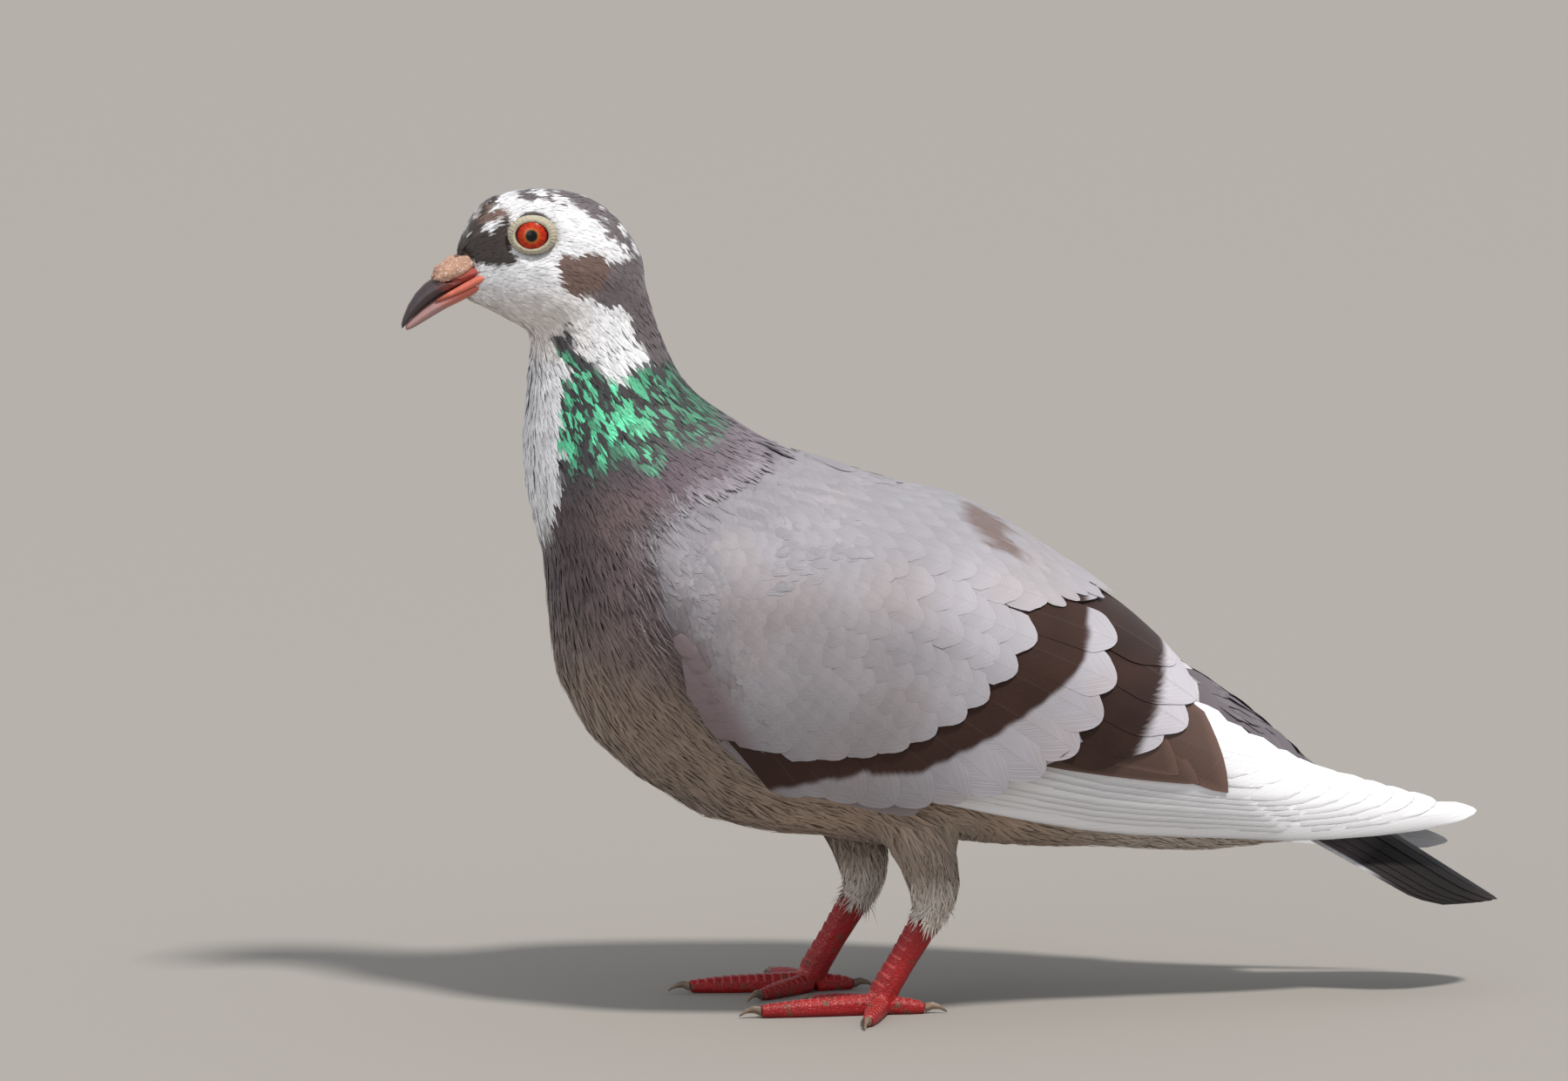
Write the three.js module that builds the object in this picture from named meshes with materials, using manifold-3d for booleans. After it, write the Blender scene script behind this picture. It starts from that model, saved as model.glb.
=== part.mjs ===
// A feral pigeon, standing, life size. Millimetres, +Z up, bill towards -X, the bird's left side towards -Y.
// The origin is on the floor, under the middle of the bird.
import * as THREE from 'three';
import { mergeVertices } from 'three/addons/utils/BufferGeometryUtils.js';
import Module from 'manifold-3d';

const wasm = await Module();
wasm.setup();

// ---------------------------------------------------------------- driving dimensions

const GAP = 0.3; // clearance between pieces that touch
const LEFT = -1;
const RIGHT = 1;

const BODY_RINGS = 28;
const BODY_SIDES = 22;
const HEAD_RINGS = 14;
const HEAD_SIDES = 14;

// Sections of the trunk and neck, square to a line that runs up the back from the tail to the head.
// back and belly are how far the section reaches from that line, and half is half its width.
const BODY_SECTIONS = [
  { name: 'tail coverts', x: 118, z: 50, back: 5.5, belly: 12, half: 12 },
  { name: 'rump', x: 95, z: 62, back: 13.5, belly: 28.5, half: 20 },
  { name: 'hips', x: 68, z: 77, back: 17, belly: 42.5, half: 32 },
  { name: 'loins', x: 41, z: 89, back: 26, belly: 52, half: 39 },
  { name: 'shoulder blades', x: 28, z: 94.3, back: 31, belly: 57, half: 41.2 },
  { name: 'back', x: 14, z: 99, back: 33, belly: 61, half: 43 },
  { name: 'mantle', x: -11, z: 111, back: 28.5, belly: 71, half: 43.5 },
  { name: 'shoulders', x: -31, z: 126, back: 22.5, belly: 69.5, half: 40.5 },
  { name: 'neck base', x: -45, z: 142, back: 15.5, belly: 50, half: 31 },
  { name: 'lower neck', x: -54, z: 157, back: 8.5, belly: 41.2, half: 22.5 },
  { name: 'mid neck', x: -60, z: 170.5, back: 7.6, belly: 32.2, half: 16.8 },
  { name: 'upper neck', x: -64, z: 182, back: 8, belly: 26, half: 13.8 },
  { name: 'nape', x: -68, z: 192, back: 8, belly: 18, half: 11 },
];

// Upright sections of the head from the nape to the base of the bill.
const HEAD_SECTIONS = [
  { x: -58.2, top: 193, bottom: 185, half: 4.5 },
  { x: -61, top: 198.6, bottom: 178, half: 9 },
  { x: -66, top: 205.4, bottom: 173, half: 12 },
  { x: -73, top: 210, bottom: 171, half: 13.5 },
  { x: -81, top: 212.1, bottom: 171.6, half: 13.6 },
  { x: -89, top: 212.2, bottom: 174.2, half: 12.3 },
  { x: -96, top: 211, bottom: 178.2, half: 9.6 },
  { x: -101, top: 208.6, bottom: 180.6, half: 7.2 },
  { x: -105, top: 202.5, bottom: 182.4, half: 5 },
  { x: -107.8, top: 196, bottom: 184.5, half: 3.4 },
];
const CROWN_NARROWING = 0.14; // the skull is narrower above its widest line than below it

const NECK_CUT = { x: -45, z: 138, slope: -37 }; // where the neck is parted from the trunk
const HEAD_CUT = { x: -74, z: 179.5, slope: -30 }; // where the head is parted from the neck
const CUT_SIZE = 160;

// The eye shows as the cap of a ball. It sits with its ring of bare skin in a round socket.
const EYE = { x: -88.8, z: 200.6, side: 10.9, radius: 5.6, bulge: 1.3, forward: 13, edge: 3.9, depth: 2.4 };
const EYE_RING = { outer: 6.1, thickness: 1.1 };
const EYE_SIDES = 14;

const BILL_RINGS = 9;
const BILL_SIDES = 10;
// Sections of the two halves of the bill: the ridge, the cutting edge and half the width.
const UPPER_BILL = [
  { x: -96.8, top: 192.4, bottom: 190.9, half: 5.2 },
  { x: -101, top: 192.6, bottom: 189.7, half: 6 },
  { x: -105, top: 192, bottom: 187.6, half: 5.1 },
  { x: -109, top: 190.6, bottom: 185.6, half: 4 },
  { x: -113.2, top: 188.4, bottom: 183.2, half: 3.1 },
  { x: -116, top: 186, bottom: 180.9, half: 2.5 },
  { x: -118.3, top: 182.9, bottom: 178.9, half: 1.8 },
  { x: -119.9, top: 179.4, bottom: 177, half: 1.1 },
  { x: -120.5, top: 177.3, bottom: 176.2, half: 0.5 },
];
const LOWER_BILL = [
  { x: -97, top: 190.4, bottom: 187.8, half: 4.8 },
  { x: -101, top: 189.1, bottom: 185.6, half: 5.3 },
  { x: -105, top: 187, bottom: 183.5, half: 4.2 },
  { x: -109, top: 185, bottom: 181.6, half: 3.2 },
  { x: -113.2, top: 182.6, bottom: 179.2, half: 2.3 },
  { x: -116, top: 180.3, bottom: 177.5, half: 1.6 },
  { x: -118.4, top: 178, bottom: 176.2, half: 1 },
  { x: -119.4, top: 176.8, bottom: 175.9, half: 0.5 },
];
const CERE = { x: -106.6, z: 191.4, side: 2.4, long: 6.9, wide: 2.7, high: 2.9, tilt: 24 };

// The outside of the folded wing, a half ellipse at each distance along the bird:
// half is how far it stands out, wide the height of its widest line, rise and drop its reach above and below.
const WING_SECTIONS = [
  { x: -58, half: 40, wide: 109, rise: 24, drop: 62 },
  { x: -45, half: 46.5, wide: 107, rise: 32, drop: 68 },
  { x: -25, half: 50, wide: 103, rise: 38, drop: 72 },
  { x: 0, half: 50.5, wide: 98, rise: 37.5, drop: 72 },
  { x: 25, half: 48.5, wide: 92, rise: 37, drop: 68 },
  { x: 45, half: 43.5, wide: 84, rise: 33, drop: 58 },
  { x: 65, half: 37, wide: 74, rise: 29, drop: 48 },
  { x: 85, half: 30.5, wide: 60, rise: 24, drop: 32 },
  { x: 105, half: 24.5, wide: 49, rise: 20.5, drop: 20 },
  { x: 125, half: 19.5, wide: 46, rise: 16, drop: 14 },
  { x: 145, half: 14.5, wide: 45.5, rise: 9.5, drop: 10 },
  { x: 157, half: 10.5, wide: 45.5, rise: 6, drop: 8 },
];

// Each layer of the folded wing, all along the bird: low is the height of its lower edge, high how far its
// upper edge stays from the middle of the back, depth how deep it lies under the wing's outside, and then its
// thickness. lean is how much sooner its rear edge ends at the top than at the bottom.
const WING_LAYERS = {
  coverts: {
    from: -57,
    to: 82,
    stations: 15,
    strips: 7,
    low: [[-57, 108], [-54, 96], [-49, 86], [-40, 74.5], [-30, 66.5], [-16, 60.5], [4, 57],
      [16, 57.5], [32, 61.5], [41, 66], [50, 70.5], [64, 69.5], [76, 71.5], [82, 77]],
    high: [[-57, 36], [-50, 35.5], [-40, 33], [-30, 28], [-20, 23], [0, 16.5],
      [25, 12], [45, 8], [65, 7.5], [75, 10], [82, 17]],
    depth: [[-57, 0], [82, 0]],
    thickness: [[-57, 1.6], [-45, 4.6], [-20, 6], [20, 5.6], [45, 3.6], [65, 2], [82, 1]],
  },
  secondaries: {
    from: 34,
    to: 91,
    stations: 6,
    strips: 4,
    low: [[34, 62.5], [50, 61.2], [70, 59.6], [91, 57.8]],
    high: [[34, 22], [60, 17], [78, 18], [91, 25]],
    depth: [[34, 5.1], [45, 4.1], [65, 2.7], [82, 1.9], [91, 1.5]],
    thickness: [[34, 0.9], [91, 0.8]],
    lean: 11,
  },
  primaries: {
    from: -6,
    to: 156,
    stations: 13,
    strips: 5,
    low: [[-6, 58], [10, 54], [25, 50.5], [41, 46.4], [63, 41.6], [86, 40.2], [108, 41],
      [131, 42.7], [150, 44.6], [156, 46]],
    high: [[-6, 44.5], [20, 38], [40, 28], [60, 21], [78, 21], [88, 21.5], [97, 17], [106, 12.3],
      [125, 7.5], [142, 7], [150, 7.6], [156, 8.6]],
    depth: [[-6, 6.6], [20, 7.2], [34, 7], [45, 6], [65, 4.5], [82, 3.5], [91, 3], [95, 2.6],
      [106, 1], [156, 0.6]],
    thickness: [[-6, 1.2], [60, 1.4], [110, 1.3], [156, 0.9]],
  },
};
const SEAT_REACH = 9; // how far outside a wing layer its seat in the trunk is cleared
const EDGE_THINNING = 0.55; // a layer is thinner by this share at its upper and lower edges
const MIN_PLATE = 0.7; // and nowhere thinner than this
// The right wing's hand feathers hang lower, by degrees of droop from the wrist, and end sooner.
const RIGHT_WING = { wrist: -40, droop: 3.1, shorter: 4 };

// The folded tail, arched like a roof: feather lines run from a root arc to a tip arc, from the middle
// feather to the outermost. half is the arc's half width, back and drop how far its ends lie behind and below
// its middle.
const TAIL = {
  root: { x: 95, z: 68, half: 10, back: -3, drop: 19 },
  tip: { x: 163, z: 22.6, half: 16.5, back: 16, drop: 1.4 },
  thickness: { root: 3.2, tip: 1.5 },
  stations: 7,
  strips: 8,
};

const THIGH_SIDES = 10;
const THIGH_RINGS = 5;
const SHANK_SIDES = 10;
const SHANK_RINGS = 6;
const TOE_SIDES = 8;
const TOE_RINGS = 3;
const CLAW_SIDES = 6;
const CLAW_RINGS = 3;

// Heights and reaches of a leg, from where its foot stands.
const LEG = {
  hock: { x: 13.6, z: 27 },
  joint: { x: 0, z: 4.6 },
  thigh: [
    { x: 7, z: 58, long: 14, wide: 12 },
    { x: 9.5, z: 48, long: 11, wide: 10 },
    { x: 12, z: 41, long: 8.8, wide: 8.2 },
    { x: 13.8, z: 34, long: 7.2, wide: 6.8 },
    { x: 13.6, z: 27.5, long: 5.7, wide: 5.4 },
    { x: 11.4, z: 22, long: 4.5, wide: 4.2 },
  ],
  shank: [
    { along: -0.1, long: 2.6, wide: 2.4 },
    { along: 0, long: 4, wide: 3.2 },
    { along: 0.25, long: 3.7, wide: 2.6 },
    { along: 0.6, long: 3.4, wide: 2.4 },
    { along: 0.9, long: 3.5, wide: 3 },
    { along: 1, long: 3.4, wide: 3.3 },
    { along: 1.1, long: 2.4, wide: 2.4 },
  ],
};
const FEET = {
  left: { x: -0.5, y: -19, side: LEFT },
  right: { x: -12.5, y: 19, side: RIGHT },
};
// Toes are numbered as in a bird: 1 points back, 2 is the inner, 3 the middle and 4 the outer one.
// heading turns from straight ahead towards the outside of the foot.
const TOES = [
  { number: 3, length: 31, heading: 3, base: 2.8, end: 2.1 },
  { number: 4, length: 21, heading: 72, base: 2.6, end: 1.9 },
  { number: 2, length: 20, heading: -42, base: 2.6, end: 1.9 },
  { number: 1, length: 11, heading: 174, base: 2.5, end: 1.8 },
];
const TOE_START = 1.5;
const TOE_LIFT = 0.82; // height of a toe's middle as a share of its radius, so that its sole is flat
const TOE_END = 0.72; // size of the toe's rounded end
const CLAW = { length: 5.6, root: 1.4, tip: 0.3, rise: 0.8, drop: 1 };

const COLOURS = {
  plumage: { color: 0xa39fa2, roughness: 0.85, metalness: 0 },
  neck: { color: 0x4c4a50, roughness: 0.6, metalness: 0 },
  head: { color: 0xd8d4d2, roughness: 0.85, metalness: 0 },
  white: { color: 0xf1efec, roughness: 0.8, metalness: 0 },
  brown: { color: 0x6b5a52, roughness: 0.8, metalness: 0 },
  tail: { color: 0x3c3634, roughness: 0.75, metalness: 0 },
  bill: { color: 0x5f5356, roughness: 0.4, metalness: 0 },
  lowerBill: { color: 0xc98c80, roughness: 0.4, metalness: 0 },
  cere: { color: 0xcfa590, roughness: 0.9, metalness: 0 },
  eye: { color: 0xc4401a, roughness: 0.1, metalness: 0 },
  eyeRing: { color: 0xb9b29c, roughness: 0.7, metalness: 0 },
  leg: { color: 0xb3262b, roughness: 0.5, metalness: 0 },
  claw: { color: 0x8f8272, roughness: 0.4, metalness: 0 },
};

// ---------------------------------------------------------------- helpers

const rad = THREE.MathUtils.degToRad;

// A smooth curve through points [x, y], as a function of x.
function profile(points) {
  const slope = points.map((_, i) => {
    const [x0, y0] = points[Math.max(i - 1, 0)];
    const [x1, y1] = points[Math.min(i + 1, points.length - 1)];
    return (y1 - y0) / (x1 - x0);
  });
  return (x) => {
    let i = 0;
    while (i < points.length - 2 && x > points[i + 1][0]) i++;
    const [x0, y0] = points[i];
    const [x1, y1] = points[i + 1];
    const span = x1 - x0;
    const t = THREE.MathUtils.clamp((x - x0) / span, 0, 1);
    const rise = t * t * (3 - 2 * t);
    const leave = t * (1 - t) * (1 - t) * span * slope[i];
    const arrive = t * t * (t - 1) * span * slope[i + 1];
    return y0 + (y1 - y0) * rise + leave + arrive;
  };
}

// One profile for each named value of a list of sections, along their order or along one of their values.
function profilesOf(sections, along) {
  const keys = Object.keys(sections[0]).filter((key) => typeof sections[0][key] === 'number');
  const at = (section, i) => (along ? section[along] : i);
  return Object.fromEntries(keys.map((key) => [key, profile(sections.map((s, i) => [at(s, i), s[key]]))]));
}

// The way a smooth curve runs at t, as a unit vector in its plane. Ends are met with a one-sided step.
function headingOf(along, t, last, step) {
  const ahead = Math.min(t + step, last);
  const behind = Math.max(t - step, 0);
  return new THREE.Vector2(along.x(ahead) - along.x(behind), along.z(ahead) - along.z(behind)).normalize();
}

// A closed body through rings with an even count of points. Each end is closed by a ladder from one side of
// the ring to the other, which also closes the ends of a curved plate.
function loft(rings) {
  const sides = rings[0].length;
  const index = [];
  const quad = (a, b, c, d) => index.push(a, b, c, a, c, d);
  for (let r = 0; r < rings.length - 1; r++) {
    for (let s = 0; s < sides; s++) {
      const next = (s + 1) % sides;
      quad(r * sides + s, r * sides + next, (r + 1) * sides + next, (r + 1) * sides + s);
    }
  }
  const last = (rings.length - 1) * sides;
  for (let s = 0; s < sides / 2 - 1; s++) {
    const [near, nearNext, far, farNext] = [s, s + 1, sides - 1 - s, sides - 2 - s];
    quad(near, far, farNext, nearNext);
    quad(last + near, last + nearNext, last + farNext, last + far);
  }
  const geometry = new THREE.BufferGeometry().setFromPoints(rings.flat());
  geometry.setIndex(index);
  return facingOut(geometry);
}

// The same geometry with its faces turned round if they point inwards.
function facingOut(geometry) {
  const position = geometry.getAttribute('position');
  const index = geometry.getIndex().array;
  const [a, b, c] = [new THREE.Vector3(), new THREE.Vector3(), new THREE.Vector3()];
  let volume = 0;
  for (let i = 0; i < index.length; i += 3) {
    a.fromBufferAttribute(position, index[i]);
    b.fromBufferAttribute(position, index[i + 1]);
    c.fromBufferAttribute(position, index[i + 2]);
    volume += a.dot(b.cross(c));
  }
  if (volume < 0) geometry.setIndex(Array.from(index).reverse());
  return geometry;
}

function toSolid(geometry) {
  const bare = new THREE.BufferGeometry().setAttribute('position', geometry.getAttribute('position'));
  bare.setIndex(geometry.getIndex());
  const merged = mergeVertices(bare, 1e-3);
  const vertProperties = new Float32Array(merged.getAttribute('position').array);
  const triVerts = new Uint32Array(merged.getIndex().array);
  return new wasm.Manifold(new wasm.Mesh({ numProp: 3, vertProperties, triVerts }));
}

function toGeometry(solid) {
  const { numProp, vertProperties, triVerts } = solid.getMesh();
  const count = vertProperties.length / numProp;
  const position = new Float32Array(count * 3);
  for (let i = 0; i < count; i++) {
    for (let k = 0; k < 3; k++) position[i * 3 + k] = vertProperties[i * numProp + k];
  }
  const geometry = new THREE.BufferGeometry();
  geometry.setAttribute('position', new THREE.BufferAttribute(position, 3));
  geometry.setIndex(Array.from(triVerts));
  return geometry;
}

// The largest body left of a solid once others are cut from it.
function cutBy(solid, ...others) {
  const bodies = others.reduce((left, other) => left.subtract(other), solid).decompose();
  return bodies.sort((a, b) => b.volume() - a.volume())[0];
}

function placed(geometry, { turn = [0, 0, 0], at = [0, 0, 0], scale = [1, 1, 1] }) {
  const matrix = new THREE.Matrix4().compose(
    new THREE.Vector3(...at),
    new THREE.Quaternion().setFromEuler(new THREE.Euler(...turn.map(rad))),
    new THREE.Vector3(...scale),
  );
  return geometry.applyMatrix4(matrix);
}

// ---------------------------------------------------------------- trunk and neck

function bodyShape(grow = 0) {
  const body = profilesOf(BODY_SECTIONS);
  const last = BODY_SECTIONS.length - 1;
  const rings = [];
  for (let r = 0; r <= BODY_RINGS; r++) {
    const t = (last * r) / BODY_RINGS;
    const tangent = headingOf(body, t, last, 0.05);
    const up = new THREE.Vector2(tangent.y, -tangent.x); // square to the line, towards the back
    const half = body.half(t) + grow;
    const reach = (body.back(t) + body.belly(t)) / 2 + grow;
    const middle = (body.back(t) - body.belly(t)) / 2;
    rings.push(Array.from({ length: BODY_SIDES }, (_, s) => {
      const angle = (2 * Math.PI * s) / BODY_SIDES;
      const rise = middle + reach * Math.sin(angle);
      return new THREE.Vector3(body.x(t) + up.x * rise, half * Math.cos(angle), body.z(t) + up.y * rise);
    }));
  }
  return loft(rings);
}

// ---------------------------------------------------------------- head

// A body through upright sections, each an oval from its bottom to its top.
function uprightLoft(sections, ringCount, sides, { grow = 0, narrowing = 0 } = {}) {
  const along = profilesOf(sections.map((s, i) => ({ ...s, order: i })), 'order');
  const rings = [];
  for (let r = 0; r <= ringCount; r++) {
    const t = ((sections.length - 1) * r) / ringCount;
    const middle = (along.top(t) + along.bottom(t)) / 2;
    const reach = (along.top(t) - along.bottom(t)) / 2 + grow;
    const half = along.half(t) + grow;
    rings.push(Array.from({ length: sides }, (_, s) => {
      const angle = (2 * Math.PI * s) / sides;
      const width = half * (1 - narrowing * Math.sin(angle));
      return new THREE.Vector3(along.x(t), width * Math.cos(angle), middle + reach * Math.sin(angle));
    }));
  }
  return loft(rings);
}

const headShape = () => uprightLoft(HEAD_SECTIONS, HEAD_RINGS, HEAD_SIDES, { narrowing: CROWN_NARROWING });
const upperBillShape = (grow) => uprightLoft(UPPER_BILL, BILL_RINGS, BILL_SIDES, { grow });
const lowerBillShape = (grow) => uprightLoft(LOWER_BILL, BILL_RINGS, BILL_SIDES, { grow });

// The cere is two soft lobes, side by side over the nostrils.
function cereSolid(grow = 0) {
  const lobes = [LEFT, RIGHT].map((side) => toSolid(placed(new THREE.SphereGeometry(1, 8, 6), {
    turn: [0, -CERE.tilt, 0],
    at: [CERE.x, side * CERE.side, CERE.z],
    scale: [CERE.long + grow, CERE.wide + grow, CERE.high + grow],
  })));
  return lobes[0].add(lobes[1]);
}

// Places a shape made round +Z on the axis of an eye, with its origin at the middle of the eyeball.
function onEye(geometry, side) {
  const forward = rad(EYE.forward);
  const axis = new THREE.Vector3(-Math.sin(forward), side * Math.cos(forward), 0);
  const middle = new THREE.Vector3(EYE.x, side * EYE.side, EYE.z);
  middle.addScaledVector(axis, EYE.bulge - EYE.radius);
  const turn = new THREE.Quaternion().setFromUnitVectors(new THREE.Vector3(0, 0, 1), axis);
  return geometry.applyMatrix4(new THREE.Matrix4().compose(middle, turn, new THREE.Vector3(1, 1, 1)));
}

// A body turned about the eye's axis from points [radius, height], from the axis or back to the first.
function turnedOnEye(outline, side) {
  const points = outline.map(([r, h]) => new THREE.Vector2(r, h));
  return onEye(facingOut(new THREE.LatheGeometry(points, EYE_SIDES).rotateX(Math.PI / 2)), side);
}

const ballHeight = (r) => Math.sqrt(EYE.radius ** 2 - r ** 2);
const eyeFloor = ballHeight(EYE.edge) - EYE.depth;

function eyeShape(side) {
  const cap = [1, 0.7, 0.38, 0].map((share) => [EYE.edge * share, ballHeight(EYE.edge * share)]);
  return turnedOnEye([[0, eyeFloor], [EYE.edge, eyeFloor], ...cap], side);
}

// Bare skin round the eye: a ring with a rounded rim, which stands up round the ball.
function eyeRingShape(side) {
  const { outer, thickness } = EYE_RING;
  const inner = EYE.edge + GAP;
  const brim = ballHeight(EYE.edge);
  return turnedOnEye([
    [inner, eyeFloor],
    [outer, eyeFloor],
    [outer, brim - thickness * 0.9],
    [(inner + outer) / 2 + 0.3, brim + thickness * 0.45],
    [inner, brim + thickness * 0.2],
    [inner, eyeFloor],
  ], side);
}

const eyeSocket = (side) => {
  const reach = EYE_RING.outer + GAP;
  const [floor, top] = [eyeFloor - GAP, EYE.radius * 2];
  return turnedOnEye([[0, floor], [reach, floor], [reach, top], [0, top]], side);
};

// ---------------------------------------------------------------- wings

const wing = profilesOf(WING_SECTIONS, 'x');

// A point on the folded wing, at an angle above its widest line and a depth under its outside.
function wingPoint(x, angle, depth, side) {
  const reach = angle > 0 ? wing.rise(x) : wing.drop(x);
  const out = new THREE.Vector2(Math.cos(angle) / wing.half(x), Math.sin(angle) / reach).normalize();
  const y = wing.half(x) * Math.cos(angle) - out.x * depth;
  const z = wing.wide(x) + reach * Math.sin(angle) - out.y * depth;
  return new THREE.Vector3(x, side * y, z);
}

const heightToAngle = (x, z) => {
  const above = z - wing.wide(x);
  return Math.asin(THREE.MathUtils.clamp(above / (above > 0 ? wing.rise(x) : wing.drop(x)), -1, 1));
};
const sideToAngle = (x, y) => Math.acos(THREE.MathUtils.clamp(y / wing.half(x), 0, 1));

// One layer of feathers as a curved plate. With grow it is the seat that the layer needs in what lies under
// it: the same facets, moved in by that much and widened by a rim of it.
function wingLayer(layer, side, grow = 0) {
  const [low, high] = [profile(layer.low), profile(layer.high)];
  const [depth, thickness] = [profile(layer.depth), profile(layer.thickness)];
  const shares = (count) => Array.from({ length: count + 1 }, (_, i) => ({ share: i / count, rim: 0 }));
  const steps = (count) => {
    if (!grow) return shares(count);
    return [{ share: 0, rim: -grow }, ...shares(count), { share: 1, rim: grow }];
  };
  const rings = steps(layer.stations).map((station) => {
    const along = THREE.MathUtils.lerp(layer.from, layer.to, station.share);
    const from = heightToAngle(along, low(along));
    const to = Math.max(sideToAngle(along, high(along)), from + 0.05);
    const outer = [];
    const inner = [];
    for (const step of steps(layer.strips)) {
      const x = along - (layer.lean ?? 0) * station.share ** 2 * step.share ** 1.4;
      const angle = THREE.MathUtils.lerp(from, to, step.share) + step.rim / wing.half(x);
      const thin = 1 - EDGE_THINNING * (2 * step.share - 1) ** 4;
      const under = depth(x) + Math.max(thickness(x) * thin, MIN_PLATE) + grow;
      outer.push(wingPoint(x, angle, depth(x) - (grow ? SEAT_REACH : 0), side));
      inner.push(wingPoint(x, angle, under, side));
    }
    return [...outer, ...inner.reverse()].map((p) => p.setX(p.x + station.rim));
  });
  const geometry = loft(rings);
  return side === RIGHT && layer === WING_LAYERS.primaries ? drooped(geometry, layer) : geometry;
}

// The right hand feathers, bent down from the wrist, most at their tips.
function drooped(geometry, layer) {
  const { wrist, droop, shorter } = RIGHT_WING;
  const position = geometry.getAttribute('position');
  const reach = layer.to - wrist;
  for (let i = 0; i < position.count; i++) {
    const bend = ((position.getX(i) - wrist) / reach) ** 2;
    position.setX(i, position.getX(i) - shorter * bend);
    position.setZ(i, position.getZ(i) - reach * Math.tan(rad(droop)) * bend);
  }
  return geometry;
}

// ---------------------------------------------------------------- tail

function tailShape(grow = 0) {
  const { root, tip, thickness, stations, strips } = TAIL;
  const rings = [];
  for (let i = 0; i <= stations; i++) {
    const along = i / stations;
    const at = (key) => THREE.MathUtils.lerp(root[key], tip[key], along);
    const thick = THREE.MathUtils.lerp(thickness.root, thickness.tip, along);
    const rim = (along * 2 - 1) * grow;
    // a point on the arch, moved square to it by an offset
    const point = (across, offset) => {
      const share = across * (1 + (2 * grow) / at('half'));
      const out = new THREE.Vector2(2 * at('drop') * share, at('half')).normalize();
      const x = at('x') - at('back') * share ** 2 + rim;
      const z = at('z') - at('drop') * share ** 2 + out.y * offset;
      return new THREE.Vector3(x, at('half') * share + out.x * offset, z);
    };
    const steps = Array.from({ length: strips + 1 }, (_, j) => (2 * j) / strips - 1);
    const upper = steps.map((across) => point(across, grow));
    const lower = steps.map((across) => point(across, -thick * (1 - 0.3 * across ** 2) - grow));
    rings.push([...upper, ...lower.reverse()]);
  }
  return loft(rings);
}

// ---------------------------------------------------------------- legs and feet

// A tube through sections in the upright plane of a leg. long is half its depth there, wide half its width.
function legTube(path, y, ringCount, sides, grow = 0) {
  const along = profilesOf(path);
  const last = path.length - 1;
  const rings = [];
  for (let r = 0; r <= ringCount; r++) {
    const t = (last * r) / ringCount;
    const tangent = headingOf(along, t, last, 0.1);
    const long = along.long(t) + grow;
    const wide = along.wide(t) + grow;
    rings.push(Array.from({ length: sides }, (_, s) => {
      const angle = (2 * Math.PI * s) / sides;
      const front = long * Math.cos(angle);
      const across = y + wide * Math.sin(angle);
      return new THREE.Vector3(along.x(t) + tangent.y * front, across, along.z(t) - tangent.x * front);
    }));
  }
  return loft(rings);
}

const thighShape = (foot, grow) =>
  legTube(LEG.thigh.map((s) => ({ ...s, x: s.x + foot.x })), foot.y, THIGH_RINGS, THIGH_SIDES, grow);

function shankShape(foot, grow) {
  const { hock, joint } = LEG;
  const path = LEG.shank.map(({ along, long, wide }) => ({
    x: foot.x + THREE.MathUtils.lerp(hock.x, joint.x, along),
    z: THREE.MathUtils.lerp(hock.z, joint.z, along),
    long,
    wide,
  }));
  return legTube(path, foot.y, SHANK_RINGS, SHANK_SIDES, grow);
}

// A toe lies along +X from the joint before it is turned to its heading.
function toeShape(toe, foot, grow = 0) {
  const rings = [];
  for (let r = 0; r <= TOE_RINGS; r++) {
    const share = r / TOE_RINGS;
    const size = THREE.MathUtils.lerp(toe.base, toe.end, share);
    const radius = size * (r === TOE_RINGS ? TOE_END : 1) + grow;
    const x = THREE.MathUtils.lerp(TOE_START, toe.length, share) + (share - 0.5) * 2 * grow;
    rings.push(Array.from({ length: TOE_SIDES }, (_, s) => {
      const angle = (2 * Math.PI * (s + 0.5)) / TOE_SIDES;
      return new THREE.Vector3(x, radius * Math.cos(angle), size * TOE_LIFT + radius * Math.sin(angle));
    }));
  }
  return toFoot(loft(rings), toe, foot);
}

// A claw starts just clear of its toe's end, arches a little and points down.
function clawShape(toe, foot) {
  const rings = [];
  for (let r = 0; r <= CLAW_RINGS; r++) {
    const share = r / CLAW_RINGS;
    const radius = THREE.MathUtils.lerp(CLAW.root, CLAW.tip, share);
    const x = toe.length + GAP + CLAW.length * share;
    const middle = toe.end * TOE_LIFT + CLAW.rise * Math.sin(share * Math.PI) - CLAW.drop * share ** 2;
    rings.push(Array.from({ length: CLAW_SIDES }, (_, s) => {
      const angle = (2 * Math.PI * s) / CLAW_SIDES;
      return new THREE.Vector3(x, 0.75 * radius * Math.cos(angle), middle + radius * Math.sin(angle));
    }));
  }
  return toFoot(loft(rings), toe, foot);
}

// Turns a toe or claw to its heading, with 0 straight ahead (-X) and more towards the outside of the foot.
function toFoot(geometry, toe, foot) {
  const turn = 180 - foot.side * toe.heading;
  return placed(geometry, { turn: [0, 0, turn], at: [foot.x, foot.y, 0] });
}

// Everything under the floor, which is cut away so that the soles are flat.
const underfoot = () => toSolid(placed(new THREE.BoxGeometry(400, 200, 40), { at: [0, 0, -20] }));

// ---------------------------------------------------------------- assembly

const model = new THREE.Group();
const bird = new THREE.Group();
model.add(bird);

function addPart(name, colours, solid) {
  const geometry = toGeometry(solid);
  const mesh = new THREE.Mesh(geometry, new THREE.MeshStandardMaterial({ ...colours, flatShading: true }));
  mesh.name = name;
  bird.add(mesh);
}

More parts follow.
